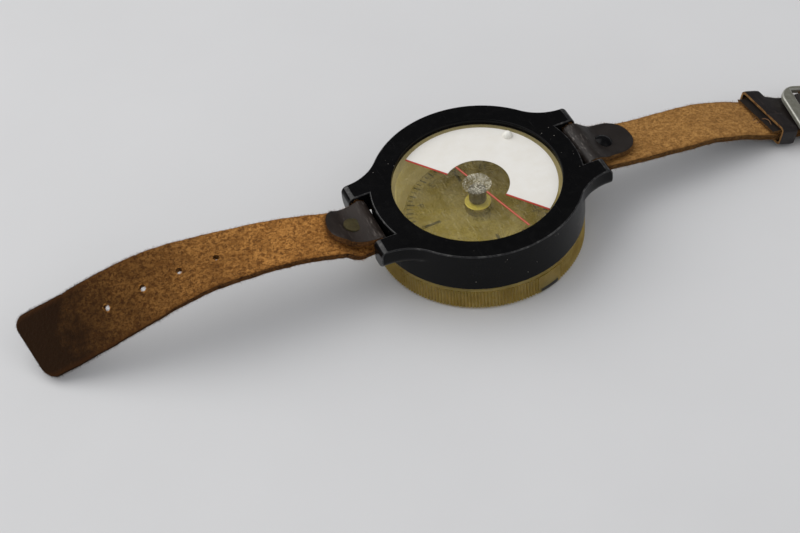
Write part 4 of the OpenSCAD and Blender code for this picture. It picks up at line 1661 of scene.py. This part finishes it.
@dataclass
class Leather:
    """Leather strip swept along a path, with uneven edges and marked folds."""

    name: str
    path: np.ndarray
    finishes: list[Finish]
    seed: int
    ragged: float = 0.07
    across: int = 26
    rounding: float = 0.28
    pinch: float = 0.1
    ragged_power: int = 6
    most_inset: float = 0.3
    fold_bend: float = 8.0
    fold_spread: int = 15
    fold_share: float = 8.0

    def frames(self) -> tuple[np.ndarray, np.ndarray, np.ndarray]:
        """Directions along the path.

        Returns:
            Heading, side and face of every point.
        """
        spots = self.path[:, :3]
        ahead = np.vstack([spots[1:], spots[-1:]]) - np.vstack([spots[:1], spots[:-1]])
        ahead /= np.linalg.norm(ahead, axis=1)[:, None]
        flat = np.array([0.0, 1.0, 0.0]) - ahead[:, 1:2] * ahead
        flat /= np.linalg.norm(flat, axis=1)[:, None]
        rise = np.cross(ahead, flat)
        turn = np.radians(self.path[:, 3:4])
        side = flat * np.cos(turn) + rise * np.sin(turn)
        face = rise * np.cos(turn) - flat * np.sin(turn)
        return ahead, side, face

    def ring(self) -> np.ndarray:
        """Cross-section in half widths and half thicknesses.

        Returns:
            Rows of (across, through, part), part 0 suede, 1 edge, 2 grain.
        """
        n = self.across
        top = [(1.0 - 2.0 * k / n, 1.0, 0) for k in range(n + 1)]
        left = [(-1.0, 0.5, 1), (-1.0, 0.0, 1), (-1.0, -0.5, 1)]
        under = [(-1.0 + 2.0 * k / n, -1.0, 2) for k in range(n + 1)]
        right = [(1.0, -0.5, 1), (1.0, 0.0, 1), (1.0, 0.5, 1)]
        return np.array(top + left + under + right)

    def build(self) -> Object:
        """Make the strip.

        Returns:
            The object, with attributes for distance, rim and folds.
        """
        rng = np.random.default_rng(self.seed)
        ahead, side, face = self.frames()
        ring = self.ring()
        rows, cols = len(self.path), len(ring)
        waves = np.zeros((2, rows))
        for size in (2, 5, 11):
            knots = rng.normal(0.0, 1.0, (2, rows // size + 3))
            for k in range(2):
                wave = np.interp(np.arange(rows), np.arange(rows // size + 3) * size, knots[k])
                waves[k] += wave * size**0.25
        waves *= self.ragged / 2.0
        points = np.zeros((rows, cols, 3))
        half_w, half_t = self.path[:, 4] / 2, self.path[:, 5] / 2
        slanted = side + ahead * self.path[:, 6:7]
        for j, (s, t, _) in enumerate(ring):
            outer = abs(s) > 0.999
            reach = half_w + waves[0 if s > 0 else 1] * abs(s) ** self.ragged_power
            inset = np.minimum(self.rounding * abs(t) if outer else 0.0, half_w * self.most_inset)
            across = np.sign(s) * (np.abs(s) * reach - inset)
            through = t * (half_t - (self.pinch if outer and abs(t) == 1.0 else 0.0))
            points[:, j] = self.path[:, :3] + slanted * across[:, None] + face * through[:, None]
        parts = ring[:, 2].astype(int)
        slots = np.where(parts == np.roll(parts, -1), parts, 1).tolist() * (rows - 1) + [1, 1]
        faces = band_faces(rows, cols)
        obj = mesh_object(self.name, points.reshape(-1, 3), faces, self.finishes, slots, SHARP_ROUNDED)
        self.mark(obj, ring, rows)
        return obj

    def mark(self, obj: Object, ring: np.ndarray, rows: int) -> None:
        """Store distance, rim and fold values on the points.

        Args:
            obj: The strip.
            ring: Cross-section.
            rows: Points along the path.
        """
        bend = np.zeros(rows)
        ahead = self.frames()[0]
        bend[1:] = np.degrees(np.arccos(np.clip((ahead[1:] * ahead[:-1]).sum(1), -1.0, 1.0)))
        spread = np.ones(self.fold_spread) / self.fold_share
        bend = np.convolve(np.clip(bend / self.fold_bend, 0.0, 1.0), spread, "same").clip(0.0, 1.0)
        along, fold = (np.repeat(v, len(ring)) for v in (self.path[:, 0], bend))
        store(obj, along=along, rim=np.tile(np.abs(ring[:, 0]), rows), fold=fold)


def edge_skin(obj: Object, name: str, slot: int) -> Object:
    """Copy of the faces of one material slot, as far as they are clear of the table.

    Args:
        obj: The source.
        name: Name of the copy.
        slot: Slot whose faces are kept.

    Returns:
        The copy.
    """
    least = 0.8 * MM
    work = bmesh.new()
    work.from_mesh(obj.data)
    others = [f for f in work.faces if f.material_index != slot or min(v.co.z for v in f.verts) < least]
    bmesh.ops.delete(work, geom=others, context="FACES")
    mesh = bpy.data.meshes.new(name)
    work.to_mesh(mesh)
    work.free()
    for material in obj.data.materials:
        mesh.materials.append(material)
    return linked(name, mesh)


@dataclass(frozen=True)
class Tab:
    """Shape of a riveted tab: width, sideways lean, lift, length of its round end and stretch."""

    width: float
    skew: float
    rise: float
    reach: float
    stretch: float


@dataclass
class Straps:
    """Both leather straps with their rivets."""

    long_tab: Tab = Tab(14.8, 0.17, 0.75, 5.0, 1.12)
    short_tab: Tab = Tab(13.6, 0.07, 0.0, 6.0, 1.0)

    bar_at: float = 32.0
    bar_up: float = 17.175
    thick: float = 1.8
    width: float = 16.0
    long_width: float = 19.0
    fold: float = 1.75
    lay: float = 2.05
    lift: float = 1.04
    tab_rise: tuple[float, float] = (0.8, 0.2)
    tab_twist: float = 0.8
    tab_least: float = 0.6
    pared: float = 1.2
    buckle: Triple = (75.0, -3.8, -14.775)
    buckle_bore: float = 1.05
    end_width: float = 14.0
    tip_round: float = 3.5
    holes: int = 4
    first_hole: float = 41.2
    hole_step: float = 10.1
    hole: float = 0.9
    slit: tuple[float, float, float, float] = (-4.0, 12.0, -1.5, 1.5)
    slit_rise: tuple[float, float] = (-20.0, 20.0)
    skived: float = 0.8
    fibres: float = 12.0
    fibre: float = 0.8
    shank: float = 1.1
    foot: float = 1.6
    foot_low: float = -1.93
    washer: float = 2.3
    washer_rise: tuple[float, float] = (-1.58, -0.98)
    washer_play: float = 0.02
    washer_round: float = 0.15
    head: float = 2.55
    head_low: float = 3.03
    dome: float = 1.1

    @property
    def buckle_turn(self) -> float:
        """Radius of the leather's middle where it turns round the buckle's bar."""
        return self.buckle_bore + self.pared / 2

    def long_rows(self) -> np.ndarray:
        """Middle line of the long strap.

        Returns:
            Rows of numbers.
        """
        w, t, wide = self.width, self.thick, self.long_width
        rows = [
            Waypoint(-4.6, 0.0, -0.75, 0.0, w, t),
            Waypoint(0.0, 0.0, -self.fold, 1.0, w, t),
            Waypoint(5.2, 0.0, -1.35, 7.0, w, t),
            Waypoint(9.8, 0.4, 0.8, 4.0, w, t),
            Waypoint(21.8, 2.0, 2.8, 0.0, w + 0.4 * (wide - w), t),
            Waypoint(33.8, 3.2, 3.6, 0.0, w + 0.8 * (wide - w), t),
            Waypoint(45.8, 3.8, 4.1, 4.0, wide, t),
            Waypoint(57.8, 4.4, 2.8, 20.0, wide, t),
            Waypoint(69.8, 5.0, -0.2, 32.0, wide, t),
            Waypoint(81.8, 7.0, -5.5, 34.0, wide, t),
            Waypoint(93.0, 10.6, -11.7, 32.0, wide, t, 0.17),
        ]
        return np.array([astuple(p) for p in rows])

    def short_rows(self) -> np.ndarray:
        """Middle line of the short strap, to the underside of the buckle's bar.

        Returns:
            Rows of numbers.
        """
        w, t = self.width, self.thick
        out, aside, up = self.buckle
        rows = [
            Waypoint(-5.6, 0.0, -3.0, 0.0, w, t),
            Waypoint(0.0, 0.0, -self.fold, 0.0, w, t),
            Waypoint(5.6, 0.0, -3.0, 0.0, w, t),
            Waypoint(14.6, 0.0, -4.5, 0.0, w, t),
            Waypoint(26.0, 0.0, -6.1, 0.0, w, t),
            Waypoint(36.0, 0.0, -7.3, 0.0, w, t),
            Waypoint(46.0, -0.2, -9.9, 0.0, w, t),
            Waypoint(53.0, -0.6, up + 2.1, 0.0, w, t),
            Waypoint(60.0, -1.5, up + 0.4, 0.0, w, t),
            Waypoint(67.0, -2.7, up - 1.25, 0.0, (w + self.end_width) / 2, self.pared),
            Waypoint(out, aside, up - self.buckle_turn, 0.0, self.end_width, self.pared),
        ]
        return np.array([astuple(p) for p in rows])

    def tab_path(self, rows: np.ndarray, tab: Tab) -> np.ndarray:
        """Tab from its round tip to the top of the bar.

        Args:
            rows: Middle line of the strap.
            tab: Shape of the tab.

        Returns:
            Rows of numbers.
        """
        line = rows[:5].copy()
        all_by, rivet_by = self.tab_rise
        line[:, 2] += self.lay * self.lift + tab.rise * all_by
        line[2, 2] += tab.rise * rivet_by
        line[:, 1] += tab.skew * np.abs(line[:, 0])
        line[:, 0] *= tab.stretch
        line[:, 3] *= self.tab_twist
        line[:, 4] = tab.width
        line[1] = [0.0, 0.0, self.fold, 0.0, self.width, self.thick, 0.0]
        return self.round_end(curve_through(line, 1, 3, 24), tab.reach, self.tab_least)[::-1]

    def bar_turn(self) -> np.ndarray:
        """Turn of the leather round the strap bar.

        Returns:
            Rows of numbers.
        """
        angles = np.radians(90.0 + 180.0 * np.arange(1, 20) / 20)
        around = [(self.fold * np.cos(a), self.fold * np.sin(a)) for a in angles]
        return np.array([[out, 0.0, up, 0.0, self.width, self.thick, 0.0] for out, up in around])

    @staticmethod
    def round_end(rows: np.ndarray, reach: float, least: float) -> np.ndarray:
        """Round the end of a strip.

        Args:
            rows: The strip.
            reach: Length of the rounding.
            least: Half width that is left at the end.

        Returns:
            The strip with its end resampled and narrowed.
        """
        left = np.linalg.norm(rows[:, :3] - rows[-1, :3], axis=1)
        keep = left > reach
        fine = reach * (1.0 - np.sin(np.linspace(0.0, math.pi / 2, 22)))
        order = np.argsort(left)
        end = np.stack([np.interp(fine, left[order], column[order]) for column in rows.T], axis=1)
        inset = reach - np.sqrt(np.maximum(0.0, reach**2 - (reach - fine) ** 2))
        end[:, 4] = np.maximum(end[:, 4] - 2.0 * inset * (end[:, 4] / 2 - least) / reach, 2.0 * least)
        return np.vstack([rows[keep], end])

    def build(self) -> None:
        """Make both straps and their rivets."""
        self.build_long()
        self.build_short()

    def build_long(self) -> None:
        """Long strap with its holes."""
        rows, end = self.long_rows(), self.tip_round
        run = self.round_end(curve_through(rows, 1, len(rows) - 1, 32), end, self.long_width / 2 - end)
        path = np.vstack([self.tab_path(rows, self.long_tab), self.bar_turn(), run])
        finishes = [Finish.SUEDE_LONG, Finish.EDGE_LONG, Finish.GRAIN_LONG]
        strap = Leather("long_strap", path, finishes, 7).build()
        for k in range(self.holes):
            self.punch(strap, rows, self.first_hole + self.hole_step * k)
        here = Matrix.Translation((-self.bar_at, 0.0, self.bar_up)) @ Matrix.Scale(-1.0, 4, (1.0, 0.0, 0.0))
        self.deliver(strap, here, Body.LONG, "strap_long", Finish.SUEDE_LONG, 3)
        low = self.head_low
        flat = [(0.0, low), (2.45, low), (self.head, 3.15), (2.5, 3.5), (2.1, 3.58), (0.0, 3.6)]
        flat = [(r, z + self.long_tab.rise) for r, z in flat]
        self.rivet("long", flat, Finish.BRASS, here @ self.rivet_frame(rows), Body.LONG, "brass")

    def buckle_loop(self, rows: np.ndarray) -> np.ndarray:
        """Fold of the short strap round the buckle's bar and back on itself.

        Args:
            rows: Middle line of the strap.

        Returns:
            Rows of numbers.
        """
        out, aside, up = self.buckle
        yaw, turn = end_heading(rows), self.buckle_turn
        loop = []
        for k in range(1, 20):
            a = math.radians(-90.0 + 180.0 * k / 20)
            reach = turn * math.cos(a)
            spot = [out + reach * math.cos(yaw), aside + reach * math.sin(yaw), up + turn * math.sin(a)]
            loop.append([*spot, 0.0, self.end_width, self.pared, 0.0])
        back = [[out + ahead, aside, up + turn, 0.0, self.end_width, self.pared, 0.0] for ahead in (4.0, 0.0)]
        gap = self.lay - self.thick
        for way, rise, thick, slant in (
            (8.0, self.pared + gap, self.pared, 0.0),
            (15.0, (self.thick + self.pared) / 2 + gap, self.pared, 0.0),
            (20.6, (self.thick + self.skived) / 2 + gap, self.skived, 0.25),
        ):
            on = at_distance(rows, out - way)
            back.append([on[0], on[1], on[2] + rise, 0.0, on[4], thick, slant])
        return np.vstack([np.array(loop), curve_through(np.array(back), 1, 4, 24)])

    def build_short(self) -> None:
        """Short strap with its fold round the buckle's bar."""
        rows = self.short_rows()
        run = curve_through(rows, 1, len(rows) - 1, 24)
        path = [self.tab_path(rows, self.short_tab), self.bar_turn(), run, self.buckle_loop(rows)]
        finishes = [Finish.SUEDE_SHORT, Finish.EDGE_SHORT, Finish.GRAIN_SHORT]
        strap = Leather("short_strap", np.vstack(path), finishes, 19).build()
        tool = prism("slit", oblong(*self.slit), *self.slit_rise, [Finish.EDGE_SHORT])
        place(tool, Matrix.Translation(self.buckle) @ Matrix.Rotation(end_heading(rows), 4, "Z"))
        combine(strap, tool, "DIFFERENCE")
        here = Matrix.Translation((self.bar_at, 0.0, self.bar_up))
        self.deliver(strap, here, Body.SHORT, "strap_short", Finish.SUEDE_SHORT, 5)
        ball = (self.head**2 + self.dome**2) / (2.0 * self.dome)
        dome = [(0.0, self.head_low), (self.head, self.head_low)]
        for a in np.linspace(math.asin(self.head / ball), 0.0, 12):
            dome.append((ball * math.sin(a), self.head_low + self.dome - ball * (1.0 - math.cos(a))))
        self.rivet("short", dome, Finish.ENAMEL, here @ self.rivet_frame(rows), Body.SHORT, "black_rivet")

    def punch(self, strap: Object, rows: np.ndarray, out: float) -> None:
        """Cut one round hole.

        Args:
            strap: The strap.
            rows: Its middle line.
            out: Distance from the bar.
        """
        on, ahead = at_distance(rows, out), at_distance(rows, out + 1.0)
        way = ahead - on
        yaw, pitch = math.atan2(way[1], way[0]), math.atan2(way[2], math.hypot(way[0], way[1]))
        stand = Matrix.Translation(on[:3]) @ Matrix.Rotation(yaw, 4, "Z") @ Matrix.Rotation(-pitch, 4, "Y")
        stand = stand @ turn_about("X", on[3])
        tool = rod("punch", self.hole, 3.0 * self.thick, Finish.EDGE_LONG, stand, 0.0)
        combine(strap, tool, "DIFFERENCE")

    @staticmethod
    def rivet_frame(rows: np.ndarray) -> Matrix:
        """Where a rivet stands on its strap, from the strap's middle line."""
        rise = rows[3] - rows[1]
        return Matrix.Translation(rows[2][:3]) @ Matrix.Rotation(-math.atan2(rise[2], rise[0]), 4, "Y")

    def rivet(self, which: str, head: Profile, finish: Finish, stand: Matrix, body: Body, slot: str) -> None:
        """Rivet with its washer.

        Args:
            which: long or short.
            head: Profile of the head.
            finish: Finish of both pieces.
            stand: Where it goes.
            body: Body that it moves with.
            slot: Name of a material slot, passed on to give.
        """
        low, seat = self.foot_low, self.washer_rise[0]
        under = [(0.0, low), (self.foot, low), (self.foot, seat), (self.shank, seat)]
        pin = lathe(f"rivet_{which}_pin", [*under, (self.shank, head[0][1]), *head[1:]], [finish], 64)
        give(place(pin, stand), body, slot, f"rivet_{which}")
        ring = oblong(self.shank + self.washer_play, self.washer, *self.washer_rise)
        ring = rounded_profile(ring, self.washer_round)
        washer = lathe(f"rivet_{which}_washer", ring, [finish], 64)
        give(place(washer, stand), body, slot, f"rivet_burr_{which}")

    def deliver(self, strap: Object, here: Matrix, body: Body, node: str, finish: Finish, seed: int) -> None:
        """Place a strap, grow its edge fibres and hand both over.

        Args:
            strap: The strap in its own frame.
            here: Where it goes.
            body: Body that it moves with.
            node: CAD node that it stands for.
            finish: Finish of the fibres.
            seed: Seed of the fibres.
        """
        place(strap, here)
        if here.determinant() < 0.0:
            strap.data.flip_normals()
        skin = edge_skin(strap, "skin", 1)
        hairs = fuzz(f"{strap.name}_fibres", skin, finish, self.fibres, self.fibre, seed)
        give(strap, body, "strap_leather", node)
        give(hairs, body, "strap_leather")


@dataclass
class KeeperLoop:
    """Leather loop on the short strap, slanted, with its butt joint."""

    in_width: float = 17.1
    in_height: float = 4.0
    thick: float = 1.0
    band: float = 4.5
    slant: float = 14.0
    lean: float = 14.0
    tip: float = -2.0
    turn: float = 0.9
    joint_at: float = -1.6
    joint_half: float = 0.45
    joint_deep: float = 0.3
    thread_radius: float = 0.13
    share: float = 0.7
    sink: float = 0.9
    low_by: float = 0.35
    thinned: float = 0.25
    least_fold: float = 0.35
    step: float = 0.5

    def build(self, rows: np.ndarray, bar: tuple[float, float]) -> None:
        """Make the keeper and its loose thread.

        Args:
            rows: Middle line of the short strap.
            bar: Position of the strap bar, along and up.
        """
        on = at_distance(rows, rows[7][0] + self.share * (rows[8][0] - rows[7][0]))
        spot = (bar[0] + on[0], on[1], bar[1] + on[2] - self.sink)
        stand = Matrix.Translation(spot) @ Matrix.Rotation(end_heading(rows), 4, "Z")
        stand = stand @ turn_about("Y", self.lean) @ turn_about("X", self.tip)
        middle = self.in_height / 2 - self.low_by
        give(place(self.strip(middle), stand), Body.KEEPER, "dark_leather", "keeper_loop")
        give(place(self.thread(middle), stand), Body.KEEPER, "dark_leather")

    def strip(self, middle: float) -> Object:
        """Closed band round the strap.

        Args:
            middle: Height of its middle above the strap's underside.

        Returns:
            The object.
        """
        r = self.turn
        w, h = self.in_width / 2 + self.thick / 2 - r, self.in_height / 2 + self.thick / 2 - r
        line: Profile = []
        for k, (cx, cy) in enumerate([(w, -h), (w, h), (-w, h), (-w, -h)]):
            line += arc(cx, cy, r, 90.0 * k - 90.0, 90.0 * k, 10)
        dense: Profile = []
        for (x0, y0), (x1, y1) in zip(line, line[1:] + line[:1]):
            steps = max(1, int(math.hypot(x1 - x0, y1 - y0) / self.step))
            dense += [(x0 + (x1 - x0) * k / steps, y0 + (y1 - y0) * k / steps) for k in range(steps)]
        count = len(dense)
        ring = [(-1.0, 1.0), (-0.6, 1.0), (0.0, 1.0), (0.6, 1.0), (1.0, 1.0), (1.0, 0.0)]
        ring += [(1.0, -1.0), (0.0, -1.0), (-1.0, -1.0), (-1.0, 0.0)]
        slots = [0, 0, 0, 0, 1, 1, 0, 0, 1, 1] * count
        skew = math.tan(math.radians(self.slant))
        points, fold = [], []
        for i, (y, z) in enumerate(dense):
            along = (Vector(dense[(i + 1) % count]) - Vector(dense[i - 1])).normalized()
            out = Vector((along.y, -along.x))
            joint = math.exp(-(((y - self.joint_at) / self.joint_half) ** 2)) if z > 0.0 else 0.0
            for s, t in ring:
                half = self.thick / 2 * t * (1.0 - self.thinned * (abs(s) == 1.0))
                half -= self.joint_deep * joint * (t > 0.0)
                x = s * self.band / 2 - y * skew
                points.append((x, y + out.x * half, middle + z + out.y * half))
                fold.append(min(1.0, joint + self.least_fold))
        faces, finishes = band_faces(count, len(ring), True), [Finish.KEEPER, Finish.EDGE_KEEPER]
        obj = mesh_object("keeper_band", np.array(points), faces, finishes, slots, SHARP_ROUNDED)
        store(obj, fold=np.array(fold), along=np.zeros(len(points)))
        return obj

    def thread(self, middle: float) -> Object:
        """Loose end of the thread, curled out of the keeper's edge.

        Args:
            middle: Height of the keeper's middle.

        Returns:
            The object.
        """
        start = [(-1.0, 2.2, 1.0), (-2.6, 0.6, 1.5), (-4.6, -0.6, 0.9), (-5.4, -1.6, 0.5)]
        curl = [(-4.6, -2.3, 0.7), (-2.8, -2.0, 1.8), (-1.8, -3.4, 2.3), (-1.4, -5.2, 1.6)]
        knots = np.array(start + curl)
        line = curve_through(knots + np.array([0.0, 0.0, middle - 0.6]), 0, len(knots) - 1, 8)
        sides, points = 6, []
        for i, spot in enumerate(line):
            ahead = Vector(line[min(i + 1, len(line) - 1)] - line[max(i - 1, 0)]).normalized()
            side = ahead.cross(Vector((0.0, 0.0, 1.0))).normalized()
            rise = side.cross(ahead)
            for j in range(sides):
                a = 2.0 * math.pi * j / sides
                out = side * math.cos(a) + rise * math.sin(a)
                points.append(tuple(Vector(spot) + out * self.thread_radius))
        return mesh_object("keeper_thread", np.array(points), band_faces(len(line), sides), [Finish.THREAD])


@dataclass
class Buckle:
    """Steel buckle frame and prong on the strap's folded end."""

    bar: Triple = (107.0, -3.8, 2.4)
    heading: tuple[float, float] = (8.0, -1.1)
    shift: float = -2.0
    in_width: float = 19.4
    in_length: float = 7.2
    cross: float = 4.0
    arm: float = 1.8
    thick: float = 1.7
    corner: float = 6.0
    # Width of the rounded edges that take the lighter edge nickel, partly wear and partly painted highlight.
    worn: float = 0.45
    bar_radius: float = 1.0
    lean: float = 16.0
    prong: float = 0.8
    prong_length: float = 12.2
    prong_start: float = 1.3
    eye: tuple[float, float] = (1.05, 1.9)
    eye_half: float = 1.1
    droop: float = 7.0

    def build(self) -> None:
        """Make frame and prong."""
        yaw = math.atan2(self.heading[1], self.heading[0])
        here = Matrix.Translation(self.bar) @ Matrix.Rotation(yaw, 4, "Z")
        tilt = Matrix.Translation((0.0, self.shift, 0.0)) @ turn_about("Y", self.lean)
        give(place(self.plate(), here @ tilt), Body.BUCKLE, "buckle_steel", "buckle_frame")
        prong = place(self.tongue(), here @ turn_about("Y", self.droop))
        give(prong, Body.PRONG, "buckle_steel", "buckle_prong")

    def plate(self) -> Object:
        """Flat frame with its bar.

        Returns:
            The object.
        """
        outer, inner, r = self.in_width / 2 + self.arm, self.in_width / 2, self.corner
        middle = -self.in_length - self.cross + r
        outline = [(0.0, -outer), (0.0, -inner), (-self.in_length, -inner)]
        outline += [(-self.in_length, inner), (0.0, inner), (0.0, outer)]
        outline += arc(middle, outer - r, r, 90.0, 180.0, 16) + arc(middle, -outer + r, r, 180.0, 270.0, 16)
        # The second finish, on the rounded edges, is partly wear and partly painted highlight.
        finishes = [Finish.NICKEL, Finish.NICKEL_EDGE]
        plate = bevel(prism("buckle_plate", outline, -self.thick / 2, self.thick / 2, finishes), self.worn, 1)
        bar = rod("bar", self.bar_radius, 2.0 * outer, Finish.NICKEL, turn_about("X", 90.0))
        return join(plate, bar)

    def tongue(self) -> Object:
        """Prong with the eye that it turns on.

        Returns:
            The object.
        """
        eye = rounded_profile(oblong(*self.eye, -self.eye_half, self.eye_half), 0.2)
        prong = place(lathe("buckle_tongue", eye, [Finish.NICKEL], 48), turn_about("X", 90.0))
        r, start, end = self.prong, self.prong_start, self.prong_length - self.prong
        tip = [(r * math.cos(t), end + r * math.sin(t)) for t in np.linspace(0.0, 1.5, 8)]
        pin = lathe("pin", [(0.0, start), (r, start), *tip, (0.0, end + r)], [Finish.NICKEL], 32)
        return join(prong, place(pin, turn_about("Y", 90.0)))


@dataclass
class Studio:
    """Pale table, soft light and the photograph's camera."""

    floor: Rgb = (0.66, 0.66, 0.668)
    room: Rgb = (0.96, 0.975, 1.0)
    room_light: float = 0.58
    room_shine: float = 0.06
    camera_at: Triple = (-143.4, -338.9, 384.3)
    azimuth: float = -19.37
    elevation: float = 47.11
    roll: float = -5.95
    lens: float = 86.70

    def build(self) -> None:
        """Set up table, lights, world and camera."""
        self.table()
        self.lights()
        self.camera()
        bpy.context.scene.view_settings.view_transform = "Standard"

    def table(self) -> None:
        """Table top, just below the part."""
        mesh = bpy.data.meshes.new("table")
        side, low = 6.0, -0.00008
        mesh.from_pydata([(x, y, low) for x, y in oblong(-side, side, -side, side)], [], [(0, 1, 2, 3)])
        s = Shade("pale_table")
        cloud = s.span(s.noise(60.0, 4.0, 0.55), 0.3, 0.7)
        base = s.mix(cloud, self.floor, tuple(c * 0.97 for c in self.floor))
        s.skin_set(Base_Color=base, Roughness=0.55, Specular_IOR_Level=0.25)
        mesh.materials.append(s.material)
        table = linked("table", mesh)

    def lights(self) -> None:
        """Window light from behind left and a dim room."""
        self.area("window", (-0.62, 0.62, 1.05), 1.6, 12.6, (1.0, 0.985, 0.96))
        self.area("room", (0.5, -0.7, 0.9), 0.8, 1.2, (1.0, 0.98, 0.95))
        world = bpy.data.worlds.new("room_light")
        world.use_nodes = True
        tree = Nodes(world.node_tree)
        glossy = tree.node("ShaderNodeLightPath").outputs["Is Glossy Ray"]
        ends = {"To_Min": self.room_light, "To_Max": self.room_shine}
        dim = tree.node("ShaderNodeMapRange", Value=glossy, **ends).outputs[0]
        tree.fill(world.node_tree.nodes["Background"], {"Color": self.room, "Strength": dim})
        bpy.context.scene.world = world

    @staticmethod
    def area(name: str, spot: Triple, size: float, power: float, colour: Rgb) -> None:
        """Square area light aimed at the part.

        Args:
            name: Its name.
            spot: Where it stands, in metres.
            size: Side in metres.
            power: Watts.
            colour: Colour.
        """
        light = bpy.data.lights.new(name, "AREA")
        light.energy, light.size, light.color = power, size, colour
        lamp = linked(name, light)
        lamp.location = spot
        lamp.rotation_mode = "QUATERNION"
        lamp.rotation_quaternion = Vector(spot).to_track_quat("Z", "Y")

    def camera(self) -> None:
        """Camera at the photograph's place."""
        a, e, r = (math.radians(v) for v in (self.azimuth, self.elevation, self.roll))
        back = Vector((math.sin(a) * math.cos(e), -math.cos(a) * math.cos(e), math.sin(e)))
        right = Vector((math.cos(a), math.sin(a), 0.0))
        up = back.cross(right)
        x_axis = right * math.cos(r) + up * math.sin(r)
        y_axis = up * math.cos(r) - right * math.sin(r)
        data = bpy.data.cameras.new("camera")
        data.lens, data.sensor_width = self.lens, 36.0
        data.clip_start, data.clip_end = 0.01, 50.0
        view = linked("camera", data)
        turn = Matrix((x_axis, y_axis, back)).transposed().to_4x4()
        view.matrix_world = Matrix.Translation(Vector(self.camera_at) * MM) @ turn
        bpy.context.scene.camera = view


def corners(bounds: tuple[Vector, Vector]) -> list[list[float]]:
    """Lowest and highest corner of the bounds as plain numbers."""
    return [list(map(float, v)) for v in bounds]


def main() -> None:
    """Build every sub-assembly, then the studio."""
    logging.basicConfig(level=logging.INFO, format="%(name)s: %(message)s")
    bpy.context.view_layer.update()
    CaseShell().build()
    BezelRing().build()
    Capsule().build()
    CompassCard().build()
    straps = Straps()
    straps.build()
    KeeperLoop().build(straps.short_rows(), (straps.bar_at, straps.bar_up))
    Buckle().build()
    Studio().build()
    bpy.context.view_layer.update()
    LOG.info("all pieces built")


if __name__ == "__main__":
    main()
